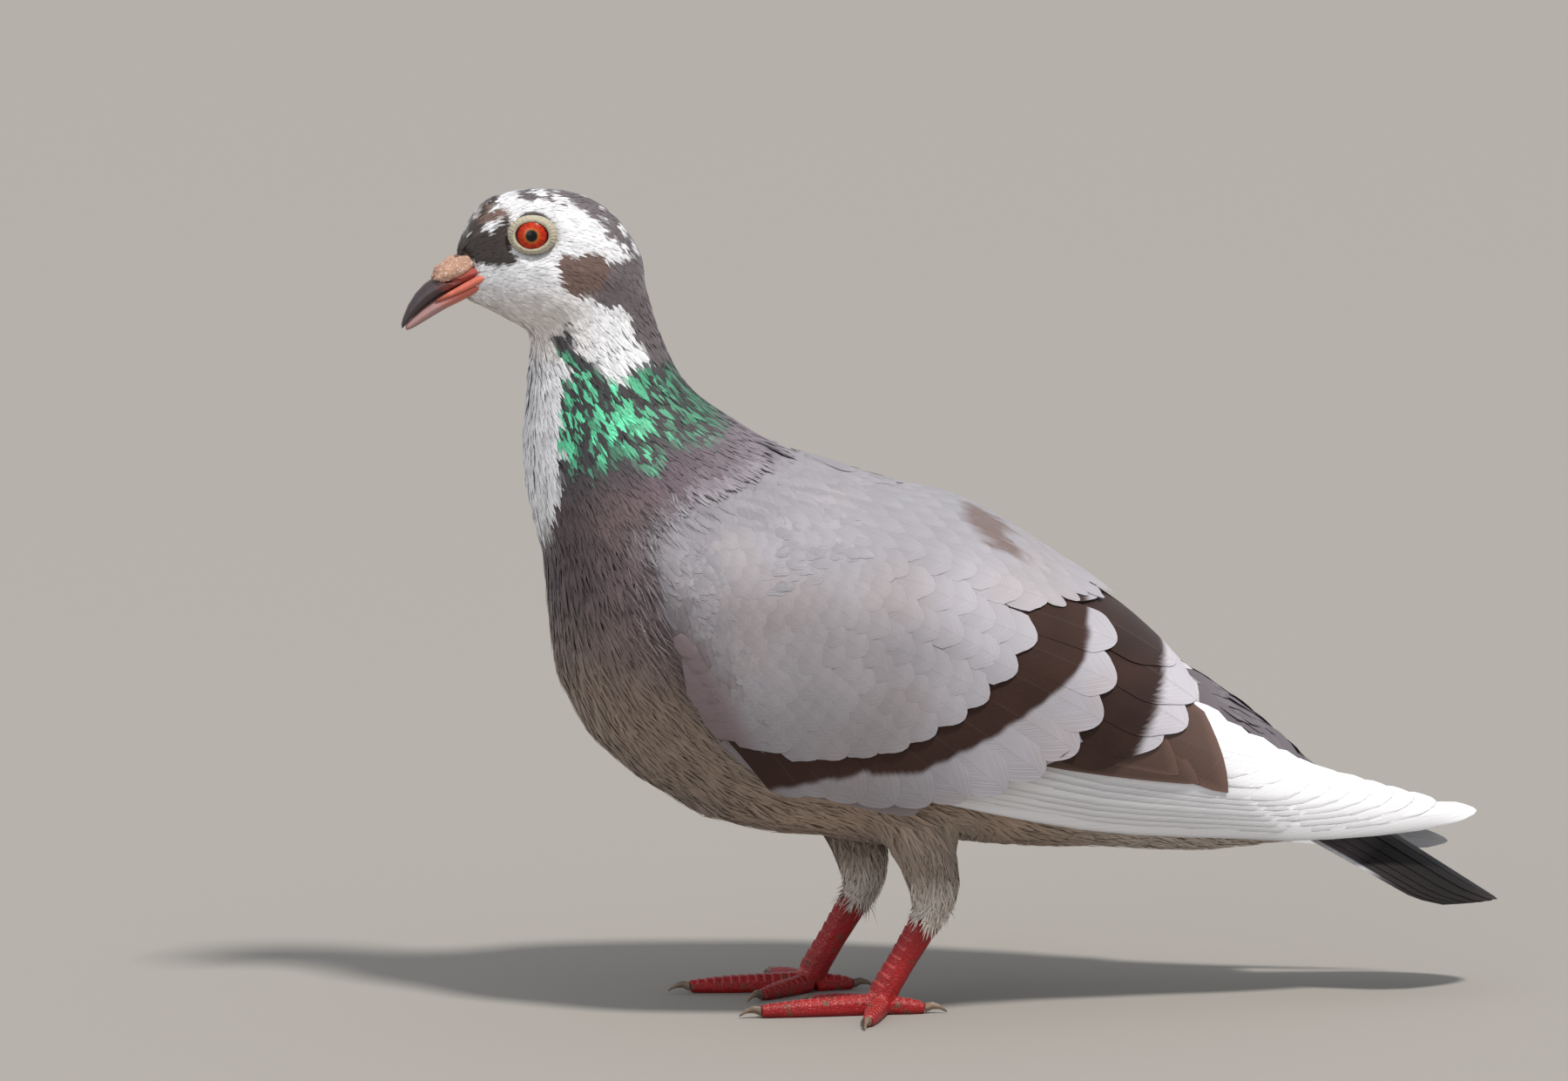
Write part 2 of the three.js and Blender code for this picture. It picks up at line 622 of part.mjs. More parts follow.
// A thin slab that parts a solid in two, tilted about the sideways axis.
function cutSlab({ x, z, slope }) {
  const slab = new THREE.BoxGeometry(CUT_SIZE, CUT_SIZE, GAP);
  return toSolid(placed(slab, { turn: [0, slope, 0], at: [x, 0, z] }));
}

const sides = { left: LEFT, right: RIGHT };
const bothSides = Object.entries(sides);
const wingSeats = bothSides.flatMap(([, side]) =>
  Object.values(WING_LAYERS).map((layer) => toSolid(wingLayer(layer, side, GAP))));

const headHollows = [
  toSolid(upperBillShape(GAP)),
  toSolid(lowerBillShape(GAP)),
  cereSolid(GAP),
  ...bothSides.map(([, side]) => toSolid(eyeSocket(side))),
];

const flesh = toSolid(bodyShape())
  .add(toSolid(headShape()))
  .subtract(toSolid(tailShape(GAP)));
const carved = [...wingSeats, ...headHollows].reduce((left, hollow) => left.subtract(hollow), flesh);
const parted = carved.subtract(cutSlab(NECK_CUT)).subtract(cutSlab(HEAD_CUT)).decompose();
const [trunk, neck, head] = parted
  .sort((a, b) => b.volume() - a.volume())
  .slice(0, 3)
  .sort((a, b) => a.boundingBox().max[2] - b.boundingBox().max[2]);

addPart('trunk', COLOURS.plumage, trunk);
addPart('neck', COLOURS.neck, neck);
addPart('head', COLOURS.head, head);
addPart('upper_bill', COLOURS.bill, toSolid(upperBillShape(0)));
addPart('lower_bill', COLOURS.lowerBill, cutBy(toSolid(lowerBillShape(0)), toSolid(upperBillShape(GAP))));
addPart('cere', COLOURS.cere, cutBy(cereSolid(), toSolid(upperBillShape(GAP)), toSolid(lowerBillShape(GAP))));
addPart('tail', COLOURS.tail, toSolid(tailShape()));

const layerColours = { coverts: COLOURS.plumage, secondaries: COLOURS.brown, primaries: COLOURS.white };
for (const [sideName, side] of bothSides) {
  addPart(`eye_${sideName}`, COLOURS.eye, toSolid(eyeShape(side)));
  addPart(`eye_ring_${sideName}`, COLOURS.eyeRing, toSolid(eyeRingShape(side)));
  for (const [layerName, layer] of Object.entries(WING_LAYERS)) {
    addPart(`wing_${sideName}_${layerName}`, layerColours[layerName], toSolid(wingLayer(layer, side)));
  }
}

const trunkRoom = toSolid(bodyShape(GAP));
for (const [sideName, foot] of Object.entries(FEET)) {
  const shankRoom = toSolid(shankShape(foot, GAP));
  const thigh = toSolid(thighShape(foot, 0));
  addPart(`thigh_${sideName}`, COLOURS.plumage, cutBy(thigh, trunkRoom, shankRoom));
  addPart(`shank_${sideName}`, COLOURS.leg, cutBy(toSolid(shankShape(foot, 0)), underfoot()));
  const toeRooms = [];
  for (const toe of TOES) {
    const solid = cutBy(toSolid(toeShape(toe, foot)), shankRoom, underfoot(), ...toeRooms);
    addPart(`toe_${sideName}_${toe.number}`, COLOURS.leg, solid);
    addPart(`claw_${sideName}_${toe.number}`, COLOURS.claw, toSolid(clawShape(toe, foot)));
    toeRooms.push(toSolid(toeShape(toe, foot, GAP)));
  }
}

// The origin goes on the floor under the middle of the bird's box.
const box = new THREE.Box3().setFromObject(bird);
const middle = box.getCenter(new THREE.Vector3());
bird.position.set(-middle.x, -middle.y, -box.min.z);

export default model;
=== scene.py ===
"""Skin, plumage, bill, eyes and legs of a standing feral pigeon, dressed over its solid model.

Lengths in the tables are millimetres in the bird's own frame: bill towards -X, left side towards -Y, Z up from the
floor, X from between the feet. Meshes are built there and placed in metres at the end.
"""

import math

import bpy
import numpy as np
from bpy.props import FloatProperty, FloatVectorProperty, IntProperty, PointerProperty
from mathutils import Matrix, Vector
from mathutils.bvhtree import BVHTree


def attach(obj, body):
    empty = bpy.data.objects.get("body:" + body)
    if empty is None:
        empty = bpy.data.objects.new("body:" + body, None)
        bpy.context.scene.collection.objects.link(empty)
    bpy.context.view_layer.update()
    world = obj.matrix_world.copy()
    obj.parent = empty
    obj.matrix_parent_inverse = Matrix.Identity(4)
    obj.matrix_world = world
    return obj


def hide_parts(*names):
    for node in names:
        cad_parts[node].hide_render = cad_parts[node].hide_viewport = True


bl_info = {
    "name": "Pigeon Plumage",
    "version": (1, 0, 0),
    "blender": (4, 5, 0),
    "location": "3D View > Sidebar > Pigeon",
    "description": "Dresses a solid model of a feral pigeon with skin, feathers, bill, eyes and legs",
    "category": "Object",
}

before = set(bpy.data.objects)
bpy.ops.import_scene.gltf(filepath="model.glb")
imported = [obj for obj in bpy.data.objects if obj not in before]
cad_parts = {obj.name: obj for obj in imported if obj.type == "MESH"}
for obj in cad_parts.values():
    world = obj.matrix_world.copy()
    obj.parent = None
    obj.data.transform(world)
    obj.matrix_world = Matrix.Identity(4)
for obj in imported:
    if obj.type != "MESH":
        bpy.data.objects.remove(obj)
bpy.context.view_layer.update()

BODY = "root"
METRE = 1000.0
FEET_TO_MIDDLE = 21.25  # the frame's origin lies this far behind the middle of the bird's box
LEFT, RIGHT = -1, 1
SIDES = {"left": LEFT, "right": RIGHT}

TABLE_STEPS = 240  # of a smooth curve through a few given points

FLESH_NODES = ["trunk", "neck", "head", "thigh_left", "thigh_right", "wing_left_coverts", "wing_right_coverts"]

# ---- the bird's lines and sections

# The line that the plumage follows, from the bill over the head and down the spine: x, z.
LIE_LINE = [
    (-112, 188), (-104, 192.5), (-96, 196.5), (-88, 198), (-81, 196), (-74, 190), (-69, 182), (-64, 172), (-57, 160),
    (-46, 145), (-31, 128), (-8, 112), (20, 99), (50, 86), (80, 71), (110, 55), (140, 40),
]

# The outside of the folded wing, a half ellipse at each x: half width, height of the widest line, rise, drop.
WING_SECTIONS = [
    (-58, 40, 109, 24, 62), (-45, 46.5, 107, 32, 68), (-25, 50, 103, 38, 72), (0, 50.5, 98, 37.5, 72),
    (25, 48.5, 92, 37, 68), (45, 43.5, 84, 33, 58), (65, 37, 74, 29, 48), (85, 30.5, 60, 24, 32),
    (105, 24.5, 49, 20.5, 20), (125, 19.5, 46, 16, 14), (145, 14.5, 45.5, 9.5, 10), (157, 10.5, 45.5, 6, 8),
]
WRIST = (-38.0, 118.0)  # the rows of coverts lie round here
COVERT_FAN = (-112.0, 166.0)  # the coverts point away from here
RIGHT_HAND = {"wrist": -40.0, "tip": 156.0, "droop": 3.1, "shorter": 4.0}

# Reach of the coverts' tips from the wrist, by heading in degrees above straight back.
MEDIAN_REACH = [(-154, 19), (-119, 27), (-94, 42), (-71, 50), (-40, 64), (-29, 68.6), (-17, 74.8), (-8, 78.5), (2, 77),
                (25, 74)]
# Where the dark bar over the greater coverts starts and ends, and where their tips lie, from the wrist as above.
BAR_START = [(-90, 40), (-71, 48), (0, 70)]
BAR_REACH = [(-71, 57), (-61, 59.4), (-51, 67.2), (-41.5, 71.4), (-32.6, 77), (-24, 83.2), (-16, 89.8), (-7.4, 90.8)]
GREATER_REACH = [(-76, 60), (-69, 62), (-48, 81), (-39, 89.6), (-33, 95), (-27.5, 98.8), (-20, 100), (-13.6, 99.4),
                 (-7, 95)]

# ---- markings, as outlines in side view: x, z

EAR_PATCH = [(-83, 193.1), (-81.5, 195.4), (-78, 195.4), (-75.6, 196), (-72.2, 195.8), (-69.8, 193.8), (-69.6, 189.4),
             (-72.2, 186.5), (-74.4, 184.9), (-77.6, 185.4), (-80.5, 186.7), (-82, 187.2), (-81, 188.7)]
NAPE_PATCH = [(-70.5, 193.2), (-66.5, 193), (-64.4, 193.6), (-62.2, 195.3), (-50, 194), (-40, 164), (-58.2, 165.4),
              (-60.4, 169.4), (-62.1, 172.8), (-63.6, 176.3), (-64.1, 180.2), (-67, 181.9), (-69.5, 181.4),
              (-71.9, 182.5), (-74.5, 185)]
CROWN_PATCH = [(-87, 215), (-84, 210), (-80.5, 207.6), (-76.5, 207), (-72, 203.8), (-68.6, 199.4), (-65.2, 195.4),
               (-61, 194.7), (-59, 199), (-60, 206), (-68, 215)]
LORES_PATCH = [(-109, 195), (-105.3, 200.5), (-102, 200.7), (-98, 201.4), (-95, 204.5), (-93.6, 200), (-93.8, 196.6),
               (-91.6, 193.2), (-98, 192.5), (-101.5, 193)]
FOREHEAD_PATCH = [(-112, 196), (-105.8, 206), (-101, 212), (-96, 213), (-96.4, 208), (-98.5, 205.6), (-100.7, 202),
                  (-102, 198.6), (-104.2, 195.7)]
NECK_PATCH = [(-82, 171.4), (-82.8, 174.6), (-81, 176), (-80, 178.4), (-78.6, 176.9), (-78.1, 171.5), (-74.2, 168.7),
              (-71.2, 165), (-67.3, 162.3), (-64.9, 164.2), (-64.4, 166.1), (-61, 167.5), (-57, 166.6), (200, 166),
              (200, -60), (-130, -60), (-130, 118), (-85, 121), (-82.6, 131.6), (-82.3, 138.6), (-81.6, 145.6),
              (-82.4, 152.6), (-81, 160.8), (-79, 166)]
GREEN_PATCH = [(-84.6, 170.3), (-80.2, 170.6), (-71.9, 165.1), (-66, 166.4), (-59.2, 165.8), (-51.4, 163.2),
               (-44.6, 157.2), (-41.6, 153.7), (-46, 148.5), (-55.3, 148.2), (-60.7, 143.9), (-68, 146), (-72.8, 142.7),
               (-80.7, 142.9), (-86, 145.9), (-87, 160.6)]
SHOULDER = [(-40, 72), (-45, 84), (-51, 96), (-59, 108), (-61, 122), (-57, 131), (-49, 139), (-36, 144), (-20, 143),
            (60, 150), (60, 60), (-30, 60)]
MANTLE_SPOT = [(20.3, 131.7), (24.8, 131.2), (31.6, 125.8), (34.9, 119), (29.3, 118), (24.8, 121.5), (22.1, 127.2)]


# ---- settings

def linear(red, green, blue):
    """A screen colour from 0 to 255 as linear light."""
    screen = np.array([red, green, blue]) / 255
    return tuple(float(c) for c in np.where(screen <= 0.04045, screen / 12.92, ((screen + 0.055) / 1.055) ** 2.4))


def colour(name, description, red, green, blue):
    return FloatVectorProperty(name=name, description=description, subtype="COLOR", size=3, min=0, max=1,
                               default=linear(red, green, blue))


def length(name, description, millimetres):
    return FloatProperty(name=name, description=f"{description} in millimetres", default=millimetres, min=0.01,
                         soft_max=60)


class PigeonColours(bpy.types.PropertyGroup):
    white: colour("White", "Pied feathers of head, neck and hand", 234, 233, 235)
    # On the head this is painted shade under the chin; on thigh ends and under the tail it is their own colour.
    throat: colour("Throat", "Warm shade of the white throat", 214, 203, 192)
    slate: colour("Slate", "Nape, crown patch and tail coverts", 98, 89, 91)
    ear: colour("Ear patch", "Brown patch over the ear", 104, 82, 74)
    lores: colour("Lores", "Dark patch before the eye", 50, 40, 36)
    neck: colour("Neck", "Neck between the shining feathers", 62, 58, 61)
    green: colour("Green", "Shining feathers of the neck", 92, 196, 150)
    purple: colour("Purple", "Base of the neck and shoulders", 99, 84, 94)
    breast: colour("Breast", "Upper breast", 100, 83, 85)
    belly: colour("Belly", "Lower breast and belly", 140, 121, 106)
    back: colour("Back", "Mantle and scapulars", 168, 163, 169)
    wing: colour("Wing", "Coverts of the wing", 168, 164, 170)
    bar: colour("Bars", "Dark bars of the wing", 52, 30, 22)
    brown: colour("Brown", "Worn secondaries", 84, 64, 56)
    tail: colour("Tail", "Tail band", 22, 17, 15)
    thigh: colour("Thigh", "Feathers of the thigh", 150, 134, 121)
    cere: colour("Cere", "Cere over the nostrils", 178, 136, 114)
    bill: colour("Upper bill", "Horn of the upper bill", 66, 54, 56)
    gape: colour("Lower bill", "Lower bill and gape", 208, 112, 92)
    iris: colour("Iris", "Outer iris", 190, 40, 10)
    ring: colour("Eye ring", "Bare skin round the eye", 196, 186, 162)
    leg: colour("Legs", "Skin of the legs", 150, 14, 18)
    claw: colour("Claws", "Horn of the claws", 120, 100, 84)
    mud: colour("Mud", "Dried mud on feet and legs", 84, 66, 44)
    floor: colour("Floor", "Plain floor", 154, 149, 143)


class PigeonSizes(bpy.types.PropertyGroup):
    seed: IntProperty(name="Seed", description="Start of the random draws", default=11, min=0)
    skin_voxel: length("Skin voxel", "Voxel of the skin", 1.5)
    head_spacing: length("Head spacing", "Distance between tufts on the head", 0.66)
    head_length: length("Head tufts", "Length of a tuft on the crown", 4.2)
    neck_spacing: length("Neck spacing", "Distance between feathers on the neck", 1.4)
    neck_length: length("Neck feathers", "Length of a neck feather", 8.5)
    body_spacing: length("Body spacing", "Distance between plumes on breast and belly", 2.9)
    body_length: length("Body plumes", "Length of a body plume", 12.5)
    leg_voxel: length("Leg voxel", "Voxel of the legs' skin", 0.34)


def sizes():
    return bpy.context.scene.pigeon_sizes


def paint():
    """The set colours as a dict of arrays."""
    group = bpy.context.scene.pigeon_colours
    return {key: np.array(getattr(group, key)) for key in PigeonColours.__annotations__}


# ---- numbers

def to_scene(points):
    """From millimetres in the bird's frame to metres in the scene."""
    return (np.asarray(points, dtype=float) - (FEET_TO_MIDDLE, 0, 0)) / METRE


def to_bird(points):
    return np.asarray(points, dtype=float) * METRE + (FEET_TO_MIDDLE, 0, 0)


def beside(*parts):
    """Values side by side, as points."""
    return np.stack(parts, axis=-1)


def norms(vectors):
    return np.linalg.norm(vectors, axis=-1)


def unit(vectors):
    return vectors / np.maximum(np.linalg.norm(vectors, axis=-1, keepdims=True), 1e-9)


def step(low, high, value):
    """0 below low, 1 above high, smooth between."""
    share = np.clip((value - low) / (high - low), 0, 1)
    return share * share * (3 - 2 * share)


def blend(first, second, share):
    return first + (second - first) * np.asarray(share)[..., None]


def along_table(table, value):
    xs, ys = zip(*table)
    return np.interp(value, xs, ys)


def smooth_table(xs, ys):
    """A fine table of a smooth curve through the points, for np.interp."""
    xs, ys = np.array(xs, float), np.array(ys, float)
    slope = np.gradient(ys, xs)
    fine = np.linspace(xs[0], xs[-1], TABLE_STEPS)
    i = np.clip(np.searchsorted(xs, fine) - 1, 0, len(xs) - 2)
    gap = xs[i + 1] - xs[i]
    t = (fine - xs[i]) / gap
    value = ((2 * t**3 - 3 * t**2 + 1) * ys[i] + (t**3 - 2 * t**2 + t) * gap * slope[i]
             + (3 * t**2 - 2 * t**3) * ys[i + 1] + (t**3 - t**2) * gap * slope[i + 1])
    return fine, value


def noise(points, size, seed=0):
    """Smooth random values from 0 to 1 that change over about size millimetres."""
    q = np.asarray(points, float) / size
    cell = np.floor(q).astype(np.int64)
    f = q - cell
    f = f * f * (3 - 2 * f)
    total = np.zeros(q.shape[:-1])
    for corner in np.ndindex(2, 2, 2):
        c = cell + corner
        # Large odd numbers stir the cell's place into a value that looks random.
        mixed = c[..., 0] * 73856093 ^ c[..., 1] * 19349663 ^ c[..., 2] * 83492791 ^ (seed + 1) * 40503
        mixed = (mixed ^ (mixed >> 13)) * 1274126177 & 0xFFFFFFF
        weight = np.prod(np.where(corner, f, 1 - f), axis=-1)
        total += weight * ((mixed >> 7) & 0xFFFF) / 65535
    return total


def inside(points, outline):
    """Distance in millimetres inside an outline in side view, negative outside it."""
    p = np.asarray(points, float)[..., (0, 2)]
    near = np.full(p.shape[:-1], 1e9)
    within = np.zeros(p.shape[:-1], bool)
    corners = np.array(outline, float)
    for a, b in zip(corners, np.roll(corners, -1, axis=0)):
        edge = b - a
        share = np.clip(((p - a) @ edge) / (edge @ edge), 0, 1)
        near = np.minimum(near, norms(p - a - share[..., None] * edge))
        crosses = (a[1] > p[..., 1]) != (b[1] > p[..., 1])
        reach = a[0] + (p[..., 1] - a[1]) * edge[0] / (edge[1] if edge[1] else 1e-9)
        within ^= crosses & (p[..., 0] < reach)
    return np.where(within, near, -near)


def mark(points, outline, edge, ragged, grain=1.6, seed=0):
    """1 inside an outline and 0 outside, with a ragged edge. Millimetres."""
    return step(-edge, edge, inside(points, outline) + (noise(points, grain, seed) - 0.5) * 2 * ragged)


def oval(p, x, z, wide, high):
    """In side view, 0 in the middle of an oval spot, 1 on its rim and more outside it."""
    return np.hypot((p[..., 0] - x) / wide, (p[..., 2] - z) / high)


def layered(result, *layers):
    """Colours laid over one another, each with the share that it covers."""
    for over, share in layers:
        result = blend(result, over, share)
    return result


def mottled(tone, p, low, spread, size, seed):
    """A colour made uneven, from low to low + spread of itself, over about size millimetres."""
    return tone * (low + spread * noise(p, size, seed))[..., None]


def flat_points(x, z):
    """Points of the bird's middle plane, so that noise runs alike over both wings."""
    return beside(x, 0 * x, z)


# ---- markings

def head_colours(p, tone):
    """Colour of the pied head at the points p."""
    x, z = p[..., 0], p[..., 2]
    # Under the chin the white turns to the darker, warmer throat colour: painted shade under the chin.
    throat = 0.7 * step(190, 180, z) * step(164, 174, z) * step(-70, -84, x)
    slate = mottled(tone["slate"], p, 0.85, 0.3, 3, 4)
    before_eye = step(1.1, 0.7, oval(p, -98, 203, 4.5, 5.5)) * step(0.54, 0.62, noise(p, 1.5, 15))
    brow = step(1.1, 0.8, oval(p, -87.5, 210.5, 5.5, 2.2)) * step(0.4, 0.5, noise(p, 1.7, 8))
    return layered(
        mottled(blend(tone["white"], tone["throat"], throat), p, 0.8, 0.2, 2.2, 3),
        (slate, mark(p, CROWN_PATCH, 0.5, 1.5) * step(0.26, 0.34, noise(p, 2.4, 5))),
        (slate, mark(p, NAPE_PATCH, 0.5, 1.0)),
        (mottled(tone["ear"], p, 0.85, 0.3, 1.6, 6), mark(p, EAR_PATCH, 0.5, 0.8, 1.2)),
        (tone["lores"] * 1.4, mark(p, FOREHEAD_PATCH, 0.6, 1.0, 1.4) * step(0.3, 0.42, noise(p, 1.7, 7))),
        (tone["ear"] * 1.2, before_eye),
        (slate, brow),
        (tone["lores"], mark(p, LORES_PATCH, 0.5, 0.7, 1.2)),
    )


def below_head(p):
    """Millimetres below the line where the head ends, measured down the neck."""
    return 178 - (p[..., 2] - 0.35 * (p[..., 0] + 80))


def behind_front(p):
    """0 along the front of mantle and shoulders, rising to 1 a little behind it."""
    over_wing = np.maximum(step(-6, 1.5, inside(p, SHOULDER)), step(136, 143, p[..., 2]))
    return np.minimum(over_wing, step(47, 60, below_head(p)))


def wing_shade(x, z):
    """Painted shade on the wing's grey in red, green and blue, low in front; also a little darker high on the back."""
    front = step(26, -8, x)
    low = step(128, 108, z) * front
    top = 0.2 * step(110, 128, z)
    shade = 1 - top - 0.28 * low - 0.05 * step(96, 78, z) * front - 0.05 * step(98, 80, z) * step(-18, -40, x)
    return beside(shade, shade * (1 - 0.025 * low), shade * (1 - 0.045 * low))


def body_colours(p, tone):
    """Colour of breast, belly, back and rump at the points p."""
    x, y, z = p[..., 0], p[..., 1], p[..., 2]
    breast = blend(tone["breast"], tone["belly"], step(105, 72, z + 0.35 * (x + 60)))
    # The wing's painted shade, laid on the colours of the back and of the wing beside the breast.
    shade = wing_shade(x, z)
    back = step(127, 137, z + 0.75 * (x + 28) + 1.5 * (noise(p, 6, 9) - 0.5)) * step(-50, -34, x)
    beside_wing = mark(p, SHOULDER, 5, 3, 3, 14) * step(16, 30, np.abs(y))
    tail_coverts = step(77, 82, x + 2 * (noise(p, 4, 10) - 0.5)) * step(46, 52, z)
    flecks = step(-80, -84, x) * step(96, 106, z) * step(0.68, 0.76, noise(p * (1, 1, 0.5), 2.4, 11))
    result = layered(
        # Darker at the front of the upper breast: painted shade on the side away from the light.
        breast * (1 - 0.32 * step(-66, -84, x) * step(80, 108, z))[..., None],
        (tone["purple"], 0.85 * step(118, 136, z + 0.62 * (x + 45))),
        (tone["back"] * shade, back * (0.3 + 0.7 * behind_front(p))),
        (tone["wing"] * shade, beside_wing * (0.45 + 0.47 * behind_front(p))),
        (tone["ear"] * 1.1, 0.8 * mark(p, MANTLE_SPOT, 0.6, 2.2, 2.4) * step(5, 9, -y)),
        (tone["belly"] * 1.5, step(-50, -10, x) * step(70, 56, z)),
        (tone["white"], step(52, 60, x) * step(60, 68, z)),
        (tone["slate"] * (1.25, 1.3, 1.4), tail_coverts),
        (tone["throat"], 0.7 * step(40, 70, x) * step(52, 46, z)),
        (tone["white"] * 0.75, 0.6 * flecks),
    )
    return mottled(result, p, 0.9, 0.2, 3.5, 12)


def plumage(p):
    """Colour and green shine of skin and feathers at the points p."""
    tone = paint()
    x, z = p[..., 0], p[..., 2]
    dark = mark(p, NECK_PATCH, 0.5, 1.2, 1.8)
    neck = blend(body_colours(p, tone), tone["neck"], step(132, 146, z - 0.45 * (x + 70)))
    result = blend(head_colours(p, tone), neck, dark)
    thigh = step(52, 44, z) * step(-12, -4, x) * step(30, 24, x)
    leg_down = blend(tone["thigh"], tone["throat"], step(36, 27, z + 3 * (noise(p, 3, 16) - 0.5)))
    return blend(result, leg_down, thigh), mark(p, GREEN_PATCH, 3.5, 3, 6, 13) * dark


# ---- meshes

def only(piece):
    """Selects one object and makes it active."""
    bpy.ops.object.select_all(action="DESELECT")
    piece.select_set(True)
    bpy.context.view_layer.objects.active = piece


def triples(items, key, kind):
    """Three values of each of a mesh's vertices or triangles."""
    values = np.empty(len(items) * 3, kind)
    items.foreach_get(key, values)
    return values.reshape(-1, 3)


def read_points(piece):
    """The points of a piece in the bird's frame, and the directions out of it."""
    points = piece.data.vertices
    return to_bird(triples(points, "co", float)), triples(points, "normal", np.float32).astype(float)


def write_points(piece, points):
    piece.data.vertices.foreach_set("co", to_scene(points).astype(np.float32).ravel())
    piece.data.update()


def smooth_faces(piece):
    piece.data.polygons.foreach_set("use_smooth", np.ones(len(piece.data.polygons), bool))


def set_colours(piece, colours):
    """Paints the points, with colours of three values or of four, the last being the green shine."""
    if colours.shape[1] == 3:
        colours = np.concatenate([colours, np.ones((len(colours), 1))], axis=1)
    layer = piece.data.color_attributes.new("Plumage", "FLOAT_COLOR", "POINT")
    layer.data.foreach_set("color", np.asarray(colours, np.float32).ravel())


def new_object(name, data):
    item = bpy.data.objects.new(name, data)
    bpy.context.collection.objects.link(item)
    return item


def new_piece(name, points, faces, material):
    """An object at the origin from points in the bird's frame and triangles."""
    faces = np.asarray(faces, np.int32)
    mesh = bpy.data.meshes.new(name)
    mesh.vertices.add(len(points))
    mesh.vertices.foreach_set("co", to_scene(points).astype(np.float32).ravel())
    mesh.loops.add(faces.size)
    mesh.loops.foreach_set("vertex_index", faces.ravel())
    mesh.polygons.add(len(faces))
    mesh.polygons.foreach_set("loop_start", np.arange(0, faces.size, 3, dtype=np.int32))
    mesh.update(calc_edges=True)
    piece = new_object(name, mesh)
    mesh.materials.append(material)
    smooth_faces(piece)
    return piece


def dress(piece, slot, *nodes):
    """The piece rides on the bird and stands for CAD nodes, which are hidden. slot is not used."""
    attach(piece, BODY)
    if nodes:
        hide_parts(*nodes)


# ---- surfaces that feathers lie on

TRIES = 5  # draws for each feather that there is room for
CELL_ROW = 4001  # more cells than a row of them can have on any surface
LIE_SPREAD = 9.0  # how far along the lie line the feathers take their heading from


class Surface:
    """A mesh in the bird's frame that feathers are set on."""

    def __init__(self, piece):
        self.points, self.normals = read_points(piece)
        piece.data.calc_loop_triangles()
        self.triangles = triples(piece.data.loop_triangles, "vertices", np.int32)
        self.tree = BVHTree.FromPolygons(self.points.tolist(), self.triangles.tolist())

    def scatter(self, spacing, region, draw):
        """Points and normals spread evenly, a spacing apart, where region(points, normals) is true."""
        a, b, c = (self.points[self.triangles[:, i]] for i in range(3))
        area = norms(np.cross(b - a, c - a)) / 2
        centre_in = region((a + b + c) / 3, unit(self.normals[self.triangles].sum(axis=1)))
        area = np.where(centre_in, area, 0)
        count = int(area.sum() / spacing**2 * TRIES)
        chosen = draw.choice(len(area), count, p=area / area.sum())
        u, v = draw.random(count), draw.random(count)
        flip = u + v > 1
        u, v = np.where(flip, 1 - u, u), np.where(flip, 1 - v, v)
        shares = beside(1 - u - v, u, v)[:, :, None]
        spots = (self.points[self.triangles[chosen]] * shares).sum(axis=1)
        normals = unit((self.normals[self.triangles[chosen]] * shares).sum(axis=1))
        cells = np.floor(spots / spacing).astype(np.int64)
        _, first = np.unique(cells @ (1, CELL_ROW, CELL_ROW**2), return_index=True)
        first = np.sort(first)
        return spots[first], normals[first]

    def lay(self, points):
        """The nearest places on the surface, and the directions out of it there."""
        places, outs = np.empty((len(points), 3)), np.empty((len(points), 3))
        for i, point in enumerate(points):
            place, out, _, _ = self.tree.find_nearest(point)
            places[i], outs[i] = place, out
        return places, outs


_line = np.array(LIE_LINE, float)
_line_length = np.concatenate([[0], np.cumsum(norms(np.diff(_line, axis=0)))])
_line_at = np.linspace(0, _line_length[-1], 90)
LINE_POINTS = np.stack([np.interp(_line_at, _line_length, _line[:, i]) for i in (0, 1)], axis=1)
LINE_HEADINGS = unit(np.gradient(LINE_POINTS, axis=0))


def line_gaps(points):
    """Distance of each point from each point of the lie line, in side view."""
    return norms(points[:, None, (0, 2)] - LINE_POINTS[None])


def lie(points, normals):
    """The direction that feathers point in: along the lie line, down the thighs, flat on the surface."""
    gap = line_gaps(points)
    weight = np.exp(-(gap - gap.min(axis=1, keepdims=True)) / LIE_SPREAD)
    heading = (weight[:, :, None] * LINE_HEADINGS[None]).sum(axis=1)
    direction = unit(beside(heading[:, 0], np.zeros(len(points)), heading[:, 1]))
    thigh = step(58, 46, points[:, 2]) * step(34, 26, points[:, 0]) * step(-20, -14, points[:, 0])
    down = blend(np.array([0.12, 0, -1.0]), np.array([-0.5, 0, -0.87]), step(38, 28, points[:, 2]))
    direction = unit(blend(direction, down, thigh))
    return unit(direction - (direction * normals).sum(axis=1, keepdims=True) * normals)


def unwrap(points):
    """Where roots lie on the unrolled skin: along the lie line, and round it."""
    nearest = line_gaps(points).argmin(axis=1)
    off = points[:, (0, 2)] - LINE_POINTS[nearest]
    heading = LINE_HEADINGS[nearest]
    above = off[:, 1] * heading[:, 0] - off[:, 0] * heading[:, 1]
    ahead = (off * heading).sum(axis=1)
    around = np.arctan2(points[:, 1], above) / (2 * math.pi) + 0.5
    along = (_line_at[nearest] + ahead) / _line_length[-1]
    return np.clip(beside(along, around), 0, 1) * (1 - 2 * MAP_MARGIN) + MAP_MARGIN


# ---- feathers

PATCH = 0.003  # side of a small feather's patch on the colour map, which is 1 across
MAP_MARGIN = 0.02
RIM_ANGLE = math.radians(65)  # where a vane's upper and lower faces meet, its rim stays crisp


